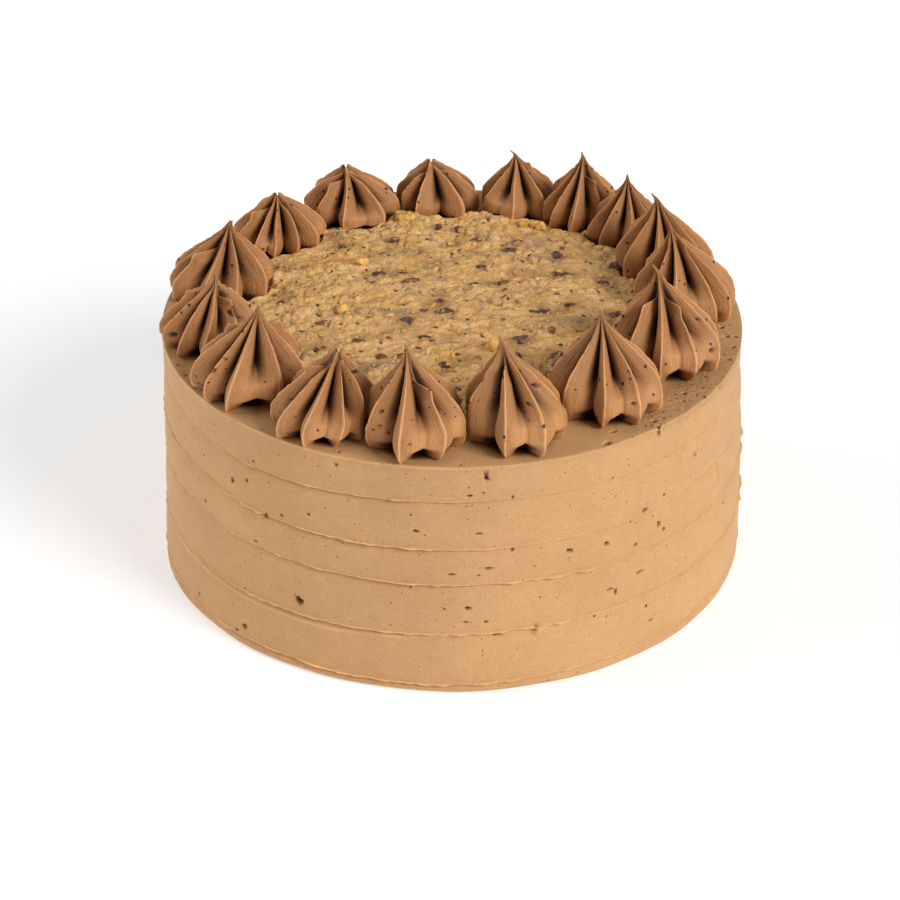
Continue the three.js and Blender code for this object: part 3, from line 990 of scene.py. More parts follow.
def ridge_offset(number, along, right, height):
    """How far the side stands out near one crease, and its shares of painted highlight
    on the lip and painted shade in the crease.
    """
    settings = bpy.context.scene.cake_icing
    ridge = RIDGES[number]
    distance = (height - ridge["height"]) / MM
    turned_away = smooth_step((right - 0.6) / 0.3)
    flicker = 0.75 + 0.45 * lattice_noise(along, 5 * MM, 31 + number)
    ragged = 0.5 * lattice_noise(along, 2.0 * MM, 47 + number)
    ragged = 1.0 + ragged * (1.0 - 0.6 * turned_away)
    across = smooth_step((right - 0.25) / 0.5)
    strength = ridge["left"] + (ridge["right"] - ridge["left"]) * across
    strength = np.clip(strength * flicker, 0.0, 1.4)
    edge = hump(distance - 0.25, 0.22) * ragged
    above = np.where(distance > 0, np.exp(-distance / 3.0), 0.0)
    below = np.where(distance <= 0, np.exp(distance / 1.6), 0.0)
    below *= smooth_step(-distance / 0.35)
    offset = settings.lip_height * (0.8 * edge + 0.45 * above)
    offset = strength * (offset - settings.crease_depth * below)
    # Painted highlight on the lip, weaker where the side turns right, and painted shade in the
    # crease, stronger there.
    lip = (1.25 - 0.7 * turned_away) * strength * edge
    crease_shade = (0.6 + 0.5 * turned_away) * strength * hump(distance + 0.3, 0.28)
    return offset, lip, crease_shade


def second_line(bearing, height):
    """The lower line that runs under the second crease on the left, with a painted highlight."""
    gap = 2.6 * np.clip((-84.0 - bearing) / 30.0, 0.0, 1.0)
    gap *= 1.0 - 0.5 * smooth_step((-bearing - 140.0) / 40.0)
    shown = smooth_step((-86.0 - bearing) / 6.0) * (bearing > -190)
    distance = (height - RIDGES[1]["height"]) / MM + gap
    return hump(distance - 0.15, 0.3) * shown


def side_offset(bearing, height):
    """How far the side stands out at an unbent height, and its shares of painted
    highlight on the lips and painted shade in the creases.
    """
    settings = bpy.context.scene.cake_icing
    turn = np.radians(bearing)
    along = np.stack([np.cos(turn) * 0.106, np.sin(turn) * 0.106, height], axis=-1)
    right = 0.5 + 0.5 * np.cos(turn)
    relief = 1.2 + 0.35 * smooth_step((right - 0.35) / 0.5)
    offset = np.zeros_like(height)
    lip = np.zeros_like(height)
    crease_shade = np.zeros_like(height)
    for number in range(len(RIDGES)):
        out, bright, dark = ridge_offset(number, along * [1, 1, 0], right, height)
        offset += relief * out
        lip = np.maximum(lip, bright)
        crease_shade = np.maximum(crease_shade, dark)
    line = second_line(bearing, height)
    offset += 0.4 * settings.lip_height * line
    # The lower line also gets a painted highlight.
    lip = np.maximum(lip, 0.7 * line)
    edges = [0.0] + [ridge["height"] for ridge in RIDGES] + [TOP_HEIGHT]
    for low, high in zip(edges[:-1], edges[1:]):
        share = np.clip((height - low) / (high - low), 0.0, 1.0)
        offset += relief * settings.band_bulge * (np.sqrt(np.sin(np.pi * share)) - 0.4)
    offset += SIDE_LUMPS * layered_noise(along, 28 * MM, 5, 2)
    offset += SIDE_RIPPLES * lattice_noise(along, 6 * MM, 11)
    return offset, lip, crease_shade


def side_place(bearing, height, offset):
    """Points on the side at bent heights, in metres."""
    settings = bpy.context.scene.cake_icing
    turn = np.radians(bearing)
    rise = height / TOP_HEIGHT
    wobble = SIDE_WOBBLE * np.cos(2 * turn + 0.6 + rise)
    away = np.abs((bearing - FOOT_SPREAD_ANGLE + 180.0) % 360.0 - 180.0)
    spread = FOOT_SPREAD * smooth_step(1 - away / FOOT_SPREAD_WIDTH)
    spread = spread * np.clip(1 - 1.6 * rise, 0, None)
    radius = settings.side_radius - settings.side_taper * rise + wobble + spread + offset
    shift = settings.shift_foot + (settings.shift_top - settings.shift_foot) * rise
    x = shift + radius * np.cos(turn)
    y = radius * np.sin(turn)
    x = np.clip(x, CAD_BOX[0].x + BOX_MARGIN, CAD_BOX[1].x - BOX_MARGIN)
    y = np.clip(y, CAD_BOX[0].y + BOX_MARGIN, CAD_BOX[1].y - BOX_MARGIN)
    return np.stack([x, y, height], -1)


def bent_heights(rows, bearings):
    """Heights of all the points of the side, risen and fallen with the creases."""
    knots = np.array([0.0] + [ridge["height"] for ridge in RIDGES] + [TOP_HEIGHT])
    wanders = np.zeros((len(knots), len(bearings)))
    for number in range(len(RIDGES)):
        wanders[number + 1] = ridge_wander(number + 1, bearings)
    columns = [rows + np.interp(rows, knots, wanders[:, i]) for i in range(len(bearings))]
    return np.stack(columns, axis=1)


def top_rings(settings, bearings, top_offset):
    """The rings that round the rim and run in across the flat top."""
    rings = []
    for share in RIM_SHARES:
        turn = share * math.pi / 2
        drop = settings.rim_radius * (1 - math.sin(turn))
        inset = settings.rim_radius * (1 - math.cos(turn))
        height = np.full(len(bearings), TOP_HEIGHT - drop)
        rings.append(side_place(bearings, height, top_offset * (1 - share) - inset))
    centre = np.array([0.0, 0.0, TOP_HEIGHT])
    edge = rings[-1]
    for reach in np.concatenate([np.linspace(0.985, 0.70, 22), [0.6, 0.45, 0.25]]):
        rings.append(centre + (edge - centre) * reach)
    rings = np.array(rings)
    lumps = TOP_LUMPS * layered_noise(rings.reshape(-1, 3), 7 * MM, 61, 3)
    rings[..., 2] += lumps.reshape(rings.shape[:2]) - TOP_SETTLED
    return rings


def rim_edge_highlight(bearings, count):
    """Shares of a painted highlight on the rim's edge on the left, for all the top's rings."""
    shown = smooth_step((-80.0 - bearings) / 14.0) * smooth_step((bearings + 195.0) / 15.0)
    around = np.stack([bearings, 0 * bearings, 0 * bearings], -1)
    shown *= 0.6 + 0.4 * lattice_noise(around, 3.0, 19)
    lip = np.zeros((count, len(bearings)))
    lip[:len(RIM_SHARES)] = 0.55 * hump(RIM_SHARES - 0.5, 0.22)[:, None] * shown
    return lip


def icing_rings(settings):
    """The rings of the frosted body from its foot, up the side and in across the top,
    with their shares of painted highlight on the lips and painted shade in the creases."""
    rows = side_rows()
    bearings = side_bearings()
    heights, turns = np.meshgrid(rows, bearings, indexing="ij")
    offset, lip, crease_shade = (
        part.reshape(heights.shape)
        for part in side_offset(turns.ravel(), heights.ravel())
    )
    foot = np.clip(1.0 - heights / FOOT_TUCK_HEIGHT, 0, 1)
    offset -= FOOT_TUCK * foot**2
    side = side_place(turns, bent_heights(rows, bearings), offset)
    top = top_rings(settings, bearings, offset[-1])
    lip = np.vstack([lip, rim_edge_highlight(bearings, len(top))])
    crease_shade = np.vstack([crease_shade, np.zeros((len(top), len(bearings)))])
    return np.concatenate([side, top]), lip, crease_shade


def refine_near(mesh, centres, reach):
    """Splits the faces near some points, so that small holes can be shaped there."""
    shape = bmesh.new()
    shape.from_mesh(mesh)
    middles = np.array([face.calc_center_median() for face in shape.faces])
    shape.faces.ensure_lookup_table()
    chosen = set()
    for centre, distance in zip(centres, reach):
        near = np.linalg.norm(middles - centre, axis=1) < distance
        chosen.update(np.nonzero(near)[0].tolist())
    edges = {edge for index in chosen for edge in shape.faces[index].edges}
    bmesh.ops.subdivide_edges(shape, edges=list(edges), cuts=3, use_grid_fill=True)
    shape.to_mesh(mesh)
    shape.free()


def spot_centres(spots, on_rim):
    """Where listed holes and blobs lie, in metres."""
    places = []
    for bearing, far, *_ in spots:
        if on_rim:
            turn = math.radians(bearing)
            places.append((far * MM * math.cos(turn), far * MM * math.sin(turn), TOP_HEIGHT))
        else:
            places.append(side_place(np.array(bearing), np.array(far * MM), 0.0))
    return np.array(places)


def shape_spots(points, spots, on_rim, seed):
    """How deep each point lies in the listed holes, and how much of a hole it is."""
    depth = np.zeros(len(points))
    share = np.zeros(len(points))
    centres = spot_centres(spots, on_rim)
    for number, (spot, centre) in enumerate(zip(spots, centres)):
        bearing, _, wide, high, deep = spot
        near = np.nonzero(np.linalg.norm(points - centre, axis=1) < 3.2 * max(wide, high) * MM)[0]
        turn = math.radians(bearing)
        across = np.array([-math.sin(turn), math.cos(turn), 0.0])
        upward = np.array([math.cos(turn), math.sin(turn), 0.0]) if on_rim else (
            np.array([0.0, 0.0, 1.0])
        )
        away = points[near] - centre
        ragged = 1.0 + 0.3 * lattice_noise(points[near], 0.8 * MM, seed + number)
        far = np.hypot(away @ across / (wide * MM), away @ upward / (high * MM)) * ragged
        hole = 1.0 - smooth_step((far - 0.55) / 0.6)
        depth[near] = np.maximum(depth[near], hole * deep * MM)
        share[near] = np.maximum(share[near], 1.0 - smooth_step((far - 0.5) / 0.5))
    return depth, share


def refine_spots(mesh):
    """Splits the faces of the icing at its listed holes and blobs."""
    on_side = SIDE_PITS + SIDE_BLOBS
    centres = np.vstack([spot_centres(on_side, False), spot_centres(RIM_PITS, True)])
    reach = [
        1.5 * max(wide, high) * MM + 0.8 * MM for _, _, wide, high, _ in on_side + RIM_PITS
    ]
    refine_near(mesh, centres, reach)


def torn_share(points):
    """How torn the icing is: most on the rim at the right, beyond the dollops."""
    turn = np.degrees(np.arctan2(points[:, 1], points[:, 0]))
    ring = np.hypot(points[:, 0], points[:, 1])
    top = points[:, 2] > TOP_HEIGHT - 3 * MM
    right = smooth_step(1.0 - np.abs(turn + 30.0) / 38.0)
    return right * top * smooth_step((ring - 88 * MM) / (6 * MM))


def shade_under_dollops(points):
    """How much painted shade each point of the top gets under a dollop's foot."""
    under = np.zeros(len(points))
    for dollop in DOLLOPS:
        away = np.linalg.norm((points - dollop_centre(dollop))[:, :2], axis=1)
        share = smooth_step((0.76 - away / (dollop.radius * MM)) / 0.2)
        under = np.maximum(under, share)
    ring = np.hypot(points[:, 0], points[:, 1])
    return under * (points[:, 2] > TOP_HEIGHT - 3 * MM) * (ring < 99.5 * MM)


def make_icing(settings):
    """The frosted body, with its bands, lips, creases, holes and blobs."""
    rings, lip, crease_shade = icing_rings(settings)
    mesh = loft_mesh("frosted_icing", rings, (0, 0, 0), (0, 0, TOP_HEIGHT - TOP_SETTLED))
    # Shares of painted highlight on the lips and of painted shade in the creases.
    store_value(mesh, "lip", np.append(lip.ravel(), [0, 0]))
    store_value(mesh, "crease_shade", np.append(crease_shade.ravel(), [0, 0]))
    refine_spots(mesh)
    points = mesh_points(mesh)
    outward = points * [1, 1, 0]
    outward /= np.maximum(np.linalg.norm(outward, axis=1), 1e-9)[:, None]
    depth, pit_shade = shape_spots(points, SIDE_PITS, False, 200)
    height, _ = shape_spots(points, SIDE_BLOBS, False, 300)
    sunk, rim_pit_shade = shape_spots(points, RIM_PITS, True, 400)
    points += outward * (height - depth)[:, None]
    points[:, 2] -= sunk
    move_points(mesh, points)
    # Painted shade on the top under the dollops' feet.
    store_value(mesh, "under", shade_under_dollops(points))
    # Painted shade inside the listed pits of the side and the rim.
    store_value(mesh, "pit_shade", np.maximum(pit_shade, rim_pit_shade))
    store_value(mesh, "torn", torn_share(points))
    return add_object("frosted_icing", mesh)


def dollop_centre(dollop):
    turn = math.radians(dollop.angle)
    return np.array([math.cos(turn), math.sin(turn), 0.0]) * dollop.ring * MM


def press_flat(points, number):
    """Moves points back behind the flats shared with the neighbouring dollops."""
    own = DOLLOPS[number]
    centre = dollop_centre(own)
    for step in (1, -1):
        other = DOLLOPS[(number + step) % len(DOLLOPS)]
        toward = dollop_centre(other) - centre
        distance = np.linalg.norm(toward)
        toward /= distance
        limit = distance * own.radius / (own.radius + other.radius) - DOLLOP_GAP
        reach = (points - centre) @ toward
        over = np.clip(reach - limit + PRESSED_EDGE, 0, None)
        eased = PRESSED_EDGE * (1.0 - np.exp(-over / PRESSED_EDGE))
        points = points + toward * (eased - over)[:, None]
    return points


def fin_section(away, height, power):
    """How far a fin stands out of its groove, from 1 at its crest to 0 in the groove,
    with a thin ridge down the crest."""
    slope = 1.0 + (FIN_SLOPE - 1.0) * smooth_step(height / 0.14)
    flank = 1.0 - slope * away - (1.0 - slope) * away**power
    ridge = 0.12 * np.exp(-away / 0.05)
    return (flank + ridge) / (1.0 + ridge)


def dollop_holes(number, around, up, width, height):
    """How deep each point lies in the torn holes of a dollop, as a share of a hole."""
    share = np.zeros_like(up)
    for which, place, level, half_wide, half_high in DOLLOP_HOLES:
        if which == number:
            across = (around - place) * width / (half_wide * MM)
            upward = (up - level) * height / (half_high * MM)
            share = np.maximum(share, 1.0 - smooth_step(np.hypot(across, upward) - 0.5))
    return share


def crest_bearings(crests, fins):
    """Directions of all the crests, and the first again a whole turn later: the given
    ones on the front and the others spaced evenly behind."""
    missing = fins - len(crests)
    step = (crests[0] + 360 - crests[-1]) / (missing + 1)
    behind = [crests[-1] + step * (i + 1) for i in range(missing)]
    return np.radians(np.array([*crests, *behind, crests[0] + 360]) - 90.0)


def dollop_grid(fins):
    """Rows up a dollop and columns round it, closest at the crests and at both ends: the
    share of the height, the place counted in fins, the nearest fin's number, and how
    far from its crest towards the groove."""
    rows = np.concatenate([
        np.linspace(0, 0.14, 13)[:-1],
        np.linspace(0.14, 0.9, 62),
        np.linspace(0.9, 1, 14)[1:],
    ])
    open_side = np.linspace(0, 1, 14, endpoint=False) ** 1.35 * GROOVE_PLACE
    steep_side = 1 - np.linspace(1, 0, 10, endpoint=False) ** 1.35 * (1 - GROOVE_PLACE)
    one_fin = np.concatenate([open_side, steep_side])
    columns = (np.arange(fins)[:, None] + one_fin[None, :]).ravel()
    t, c = np.meshgrid(rows, columns, indexing="ij")
    past = c % 1.0
    opens = past < GROOVE_PLACE
    fin = (np.floor(c).astype(int) + ~opens) % fins
    u = np.where(opens, past / GROOVE_PLACE, (1.0 - past) / (1.0 - GROOVE_PLACE))
    return t, c, fin, u


def webbed_share(number, t, c):
    """How far a groove is filled out low down."""
    filled = WEBBED.get(number, WEBBED_ELSEWHERE)
    webbed = 0.15 + 0.85 * np.isin(np.floor(c).astype(int), filled)
    return webbed * smooth_step((t - 0.08) / 0.1) * smooth_step((0.46 - t) / 0.16)


def broken_fins(number, t, fin, u):
    """The reach of each fin, uneven and cut off where it ends short, and the spurs that
    stand up at the broken ends."""
    reach = 1.0 + FIN_UNEVENNESS * np.sin(2.4 * fin + 1.7 * number)
    spur = np.zeros_like(t)
    for which, end in DOLLOPS[number].short.items():
        mine = fin == which
        flare = 0.10 * hump(t - end + 0.02, 0.05)
        stump = smooth_step((t - end + 0.16 * u) / 0.04)
        reach = np.where(mine, (reach + flare) * (1.0 - 0.8 * stump), reach)
        spur += mine * hump(t - end + 0.015, 0.03) * hump(u, 0.2)
    return reach, spur


def dollop_body(number, t, fin, u, webbed):
    """How far a dollop's surface is from its axis, and its spurs."""
    dollop = DOLLOPS[number]
    full = t * dollop.cut
    heights, reaches, grooves, powers = zip(*DOLLOP_PROFILE)
    reach = smooth_curve(full, heights, reaches)
    groove = smooth_curve(full, heights, grooves)
    groove += webbed * (0.84 - groove)
    power = np.interp(full, heights, powers)
    power = power + webbed * (2.2 - power)
    section = fin_section(u, full, power)
    uneven, spur = broken_fins(number, t, fin, u)
    body = dollop.radius * MM * reach * (groove + (1.0 - groove) * section * uneven)
    return body, spur


def dollop_bearings(number, settings, t, c):
    """The direction of each point from the axis: its crest's, twisted and swaying."""
    fins = settings.fins
    rows = t[:, 0]
    places = np.arange(fins + 1)
    where = np.stack([5.3 * (places % fins)[None, :] + 0 * rows[:, None],
                      3.0 * rows[:, None] + 0 * places[None, :],
                      np.full((len(rows), fins + 1), number * 2.9)], -1)
    curl = lattice_noise(where.reshape(-1, 3), 1.0, 71).reshape(len(rows), fins + 1)
    curl = np.array([np.interp(c[0], places, row) for row in curl])
    sway = settings.fin_stray * curl * np.clip(1.3 - t, 0, 1)
    spaced = np.interp(c, places, crest_bearings(DOLLOPS[number].crests, fins))
    return spaced + settings.twist * t + sway


def dollop_heights(number, settings, t, fin, u, spur):
    """The height of each point, with arches between the feet and a ragged broken top."""
    dollop = DOLLOPS[number]
    height = dollop.height * MM
    jag = 0.5 + 0.5 * np.sin(2.1 * fin + 1.3 * number)
    ragged_top = (1.0 - dollop.cut) * 1.2 * jag * smooth_step((t - 0.72) / 0.28) * height
    arch = ARCH_HEIGHT * smooth_step((u - 0.35) / 0.6) * np.exp(-t / 0.05)
    risen = TOP_HEIGHT - settings.sink + (height + settings.sink) * t
    return risen - ragged_top + arch + SPUR_HEIGHT * spur


def dollop_roughness(number, points, t, u):
    """How far points stand out: soft lumps, and nicks and notches along the crests."""
    lumps = 0.16 * MM * layered_noise(points + number, 5 * MM, 83, 2)
    nicked = 0.26 * layered_noise(points + number, 2.2 * MM, 89, 2)
    notch = np.clip(lattice_noise(points + number, 1.1 * MM, 97) - 0.25, 0, 1)
    nicked -= 1.1 * notch * smooth_step((t.ravel() - 0.4) / 0.2)
    fade = np.clip((1.0 - t.ravel()) / 0.15, 0.15, 1.0)
    return (lumps + nicked * MM * hump(u, 0.1).ravel()) * fade


def store_dollop_shades(mesh, t, u, webbed, hole):
    """Where a dollop gets a painted highlight on its crests and tip, and painted shade in
    its grooves, at its foot, underneath and in its holes.
    """
    crest = np.maximum(hump(u, 0.05), 0.7 * smooth_step((t - 0.88) / 0.12))
    crest = np.maximum(crest, 0.3 * webbed * smooth_step(u / 0.6))
    # Painted highlight on the crests, near the tip and on filled-out grooves.
    store_value(mesh, "crest", np.append(crest.ravel(), [0, 0.7]))
    slit_shade = smooth_step((u - 0.45) / 0.4) * smooth_step((t - 0.26) / 0.18)
    slit_shade *= smooth_step((0.93 - t) / 0.2)
    belly_shade = 0.55 * smooth_step((u - 0.5) / 0.5) ** 1.5 * (1.0 - webbed)
    foot = smooth_step((u - 0.2) / 0.4) * smooth_step((0.17 - t) / 0.10)
    deep = np.maximum(np.maximum(slit_shade * (1.0 - 0.8 * webbed), belly_shade), foot)
    deep = np.clip(np.maximum(deep, hole), 0, 1)
    # Painted shade in the grooves, at the foot, in the holes and underneath.
    store_value(mesh, "groove", np.append(deep.ravel() * 0.95, [1, 0]))


def draw_along(mesh, t, around):
    """A UV map that runs up a dollop the way its icing was drawn."""
    drawn = mesh.uv_layers.new(name="drawn")
    corners = np.empty(len(mesh.loops), int)
    mesh.loops.foreach_get("vertex_index", corners)
    across = np.append(around.ravel(), [0.5, 0.5])
    upward = np.append(t.ravel(), [0, 1])
    drawn.data.foreach_set("uv", np.stack([across[corners], upward[corners]], -1).ravel())


def make_dollop(number, settings):
    """One star-piped dollop: fins that swell over a tucked foot and close to a point."""
    dollop = DOLLOPS[number]
    centre = dollop_centre(dollop)
    t, c, fin, u = dollop_grid(settings.fins)
    webbed = webbed_share(number, t, c)
    body, spur = dollop_body(number, t, fin, u, webbed)
    bearing = dollop_bearings(number, settings, t, c)
    bend = t**1.5
    lean_in = -TIP_LEAN_IN * math.sin(math.radians(dollop.angle))
    curl_end = TIP_CURLS.get(number, 0.0) * MM * smooth_step((t - 0.88) / 0.14) ** 2
    x = centre[0] + dollop.stray * MM * bend + curl_end + body * np.cos(bearing)
    y = centre[1] + lean_in * bend + body * np.sin(bearing)
    z = dollop_heights(number, settings, t, fin, u, spur)
    points = np.stack([x.ravel(), y.ravel(), z.ravel()], -1)
    outward = np.stack([np.cos(bearing).ravel(), np.sin(bearing).ravel(), np.zeros(t.size)], -1)
    fin_width = 2 * math.pi / settings.fins * body
    hole = dollop_holes(number, c, t, fin_width, dollop.height * MM)
    rough = dollop_roughness(number, points, t, u) - HOLE_DEPTH * hole.ravel()
    rings = press_flat(points + outward * rough[:, None], number).reshape(t.shape + (3,))
    top = rings[-1].mean(axis=0)
    top[2] += -2.5 * MM if dollop.cut < 0.9 else 0.2 * MM
    bottom = np.append(rings[0].mean(axis=0)[:2], TOP_HEIGHT - settings.sink)
    name = f"piped_dollop_{number + 1:02d}"
    mesh = loft_mesh(name, rings, bottom, top)
    store_dollop_shades(mesh, t, u, webbed, hole)
    draw_along(mesh, t, c / settings.fins)
    return add_object(name, mesh)


def topping_reach(bearing, settings):
    """How far the topping reaches, ending just under the feet of the dollops."""
    turn = np.radians(bearing)
    wave = np.sin(3 * turn + 0.8) + 0.6 * np.sin(7 * turn)
    reach = settings.radius + 1.6 * MM * wave
    for dollop in DOLLOPS:
        centre = dollop_centre(dollop)
        along = centre[0] * np.cos(turn) + centre[1] * np.sin(turn)
        across = np.abs(centre[0] * np.sin(turn) - centre[1] * np.cos(turn))
        keep = dollop.radius * MM - 2.5 * MM
        edge = along - np.sqrt(np.clip(keep**2 - across**2, 0, None))
        hit = (along > 0) & (across < keep)
        reach = np.where(hit, np.minimum(reach, edge), reach)
    return reach


def chunk_field(points, cell, seed):
    """Distance to the nearest two chunk middles, in cells, and a number for the chunk."""
    place = points[:, :2] / cell
    corner = np.floor(place)
    first = np.full(len(points), 9.0)
    second = np.full(len(points), 9.0)
    chunk = np.zeros(len(points))
    for dx in (-1, 0, 1):
        for dy in (-1, 0, 1):
            home = corner + [dx, dy]
            key = np.stack([home[:, 0], home[:, 1], np.zeros(len(points))], -1)
            away = [0.4 * lattice_noise(key, 1.0, seed + k) + 0.5 for k in (0, 1)]
            gap = np.hypot(home[:, 0] + away[0] - place[:, 0], home[:, 1] + away[1] - place[:, 1])
            nearer = gap < first
            second = np.where(nearer, first, np.minimum(second, gap))
            chunk = np.where(nearer, 0.5 + 0.5 * lattice_noise(key, 1.0, seed + 2), chunk)
            first = np.where(nearer, gap, first)
    return first, second, chunk


def topping_rise(points, settings):
    """The knobbly height of the topping over the cake, and the painted shade in its
    hollows there.
    """
    turn = settings.stroke_angle
    along = points[:, 0] * math.cos(turn) + points[:, 1] * math.sin(turn)
    across = points[:, 1] * math.cos(turn) - points[:, 0] * math.sin(turn)
    still = np.zeros(len(points))
    strokes = layered_noise(np.stack([along * 0.3, across, still], -1), 5 * MM, 131, 2)
    flat = np.stack([points[:, 0], points[:, 1], still], -1)
    lumps = layered_noise(flat, 8 * MM, 137, 2)
    grains = layered_noise(flat, 1.6 * MM, 149, 2)
    shaken = flat + np.stack([grains, np.roll(grains, 1), still], -1) * 0.25 * MM
    near, next_near, chunk = chunk_field(shaken, CHUNK_SIZE, 161)
    shown = smooth_step((lumps + 0.35) / 0.7)
    domes = np.clip(1.0 - (near / 0.6) ** 2, 0, 1) * (0.3 + 0.9 * chunk) * shown
    gap = np.clip(1.0 - (next_near - near) / 0.22, 0, 1) * shown * smooth_step((chunk - 0.2) / 0.5)
    relief = 0.5 * strokes + 0.5 * lumps + 0.24 * grains + 0.55 * domes - 0.35 * gap - 0.2
    hollow_shade = np.clip(0.35 * gap + 0.5 * smooth_step((-relief - 0.3) / 0.6), 0, 1)
    return settings.roughness * relief, hollow_shade


def lift_topping(flat, far, inward, settings):
    """Lifts flat points to the topping's surface, far from the middle as a share and
    inward from its edge as a length. Gives the painted shade in its hollows there."""
    relief, hollow_shade = topping_rise(flat, settings)
    rise = TOPPING_THICKNESS + settings.doming * (1 - far**2) - TOPPING_SUNK
    edge = smooth_step(inward / TOPPING_EDGE)
    flat[:, 2] = TOP_HEIGHT - TOPPING_SUNK + (rise + relief) * (0.25 + 0.75 * edge)
    return hollow_shade


def topping_top(settings):
    """Points of the topping's top, in a square grid bent to its outline."""
    line = np.linspace(-1.0, 1.0, TOPPING_POINTS)
    u, v = np.meshgrid(line, line, indexing="xy")
    x = u * np.sqrt(1 - v * v / 2)
    y = v * np.sqrt(1 - u * u / 2)
    bearing = np.degrees(np.arctan2(y, x)).ravel()
    far = np.clip(np.hypot(x, y), 0, 1).ravel()
    reach = topping_reach(bearing, settings)
    size = far * reach
    turn = np.radians(bearing)
    points = np.stack([size * np.cos(turn), size * np.sin(turn), np.zeros_like(size)], -1)
    return points, lift_topping(points, far, reach - size, settings)


def stain_share(points):
    """How far the paste is stained by the dark pecans in it."""
    stain = np.zeros(len(points))
    for x, y, length, _, _ in DARK_BITS:
        away = np.hypot(points[:, 0] - x * MM, points[:, 1] - y * MM) / MM
        stain = np.maximum(stain, hump(away, 0.8 * length))
    return stain


def topping_mesh(settings):
    """The coconut spread as a closed slab: a fine top, a steep edge and a flat base."""
    points, hollow_shade = topping_top(settings)
    index = np.arange(len(points)).reshape(TOPPING_POINTS, TOPPING_POINTS)
    quads = np.stack([index[:-1, :-1], index[:-1, 1:], index[1:, 1:], index[1:, :-1]], -1)
    border = np.concatenate([index[0, :-1], index[:-1, -1], index[-1, :0:-1], index[:0:-1, 0]])
    low = points[border].copy()
    low[:, 2] = TOP_HEIGHT - 0.5 * MM
    lower = len(points) + np.arange(len(border))
    middle = len(points) + len(border)
    edge = np.stack([lower, np.roll(lower, -1), np.roll(border, -1), border], -1)
    base = [(middle, int(b), int(a)) for a, b in zip(lower, np.roll(lower, -1))]
    faces = quads.reshape(-1, 4).tolist() + edge.tolist() + base
    everything = np.vstack([points, low, [[0, 0, TOP_HEIGHT - 0.5 * MM]]])
    mesh = bpy.data.meshes.new("coconut_spread")
    mesh.from_pydata(everything.tolist(), [], faces)
    blank = np.zeros(len(border) + 1)
    # Painted shade in the hollows between the chunks.
    store_value(mesh, "hollow_shade", np.append(hollow_shade, blank))
    store_value(mesh, "stain", np.append(stain_share(points), blank))
    return mesh


def lump_mesh(name, splits, seed, rough):
    """A broken lump about 2 units across."""
    shape = bmesh.new()
    bmesh.ops.create_icosphere(shape, subdivisions=splits, radius=1.0)
    points = np.array([vert.co for vert in shape.verts])
    swell = 1.0 + rough * layered_noise(points + seed, 0.9, seed, 2)
    for vert, size in zip(shape.verts, swell):
        vert.co = vert.co * float(size)
    mesh = bpy.data.meshes.new(name)
    shape.to_mesh(mesh)
    shape.free()
    return mesh


def surface_height(x, y, settings):
    """The topping's height at a place well inside its edge."""
    relief, _ = topping_rise(np.array([[x, y, 0.0]]), settings)
    far = math.hypot(x, y) / settings.radius
    rise = TOPPING_THICKNESS + settings.doming * (1 - far**2) - 2 * TOPPING_SUNK
    return TOP_HEIGHT + rise + float(relief[0])


def make_bits(name, bits, seed, settings, thickness, raised):
    """Larger nut bits joined in one mesh, each partly sunk in the topping. Thickness is
    half a bit's height as a share of its width, and raised is how far it stands out."""
    shape = bmesh.new()
    for number, (x, y, length, width, lies) in enumerate(bits):
        lump = lump_mesh("bit", 3, seed + number, 0.5)
        tilt = Matrix.Rotation(0.12 * math.sin(3.1 * number + seed), 4, "X")
        thick = thickness * width * MM
        proud = (raised + 0.3 * math.sin(1.7 * number)) * MM
        size = Matrix.Diagonal((length / 2 * MM, width / 2 * MM, thick, 1.0))
        rest = surface_height(x * MM, y * MM, settings) - thick + proud
        place = Matrix.Translation((x * MM, y * MM, rest))
        lump.transform(place @ Matrix.Rotation(math.radians(lies), 4, "Z") @ tilt @ size)
        shape.from_mesh(lump)
        bpy.data.meshes.remove(lump)
    mesh = bpy.data.meshes.new(name)
    shape.to_mesh(mesh)
    shape.free()
    return add_object(name, mesh)


def random_vectors(nodes, low, high, seed):
    node = nodes.add("FunctionNodeRandomValue", {"data_type": "FLOAT_VECTOR"})
    nodes.feed(node, "i0", low)
    nodes.feed(node, "i1", high)
    nodes.feed(node, "Seed", seed)
    return node.outputs[0]


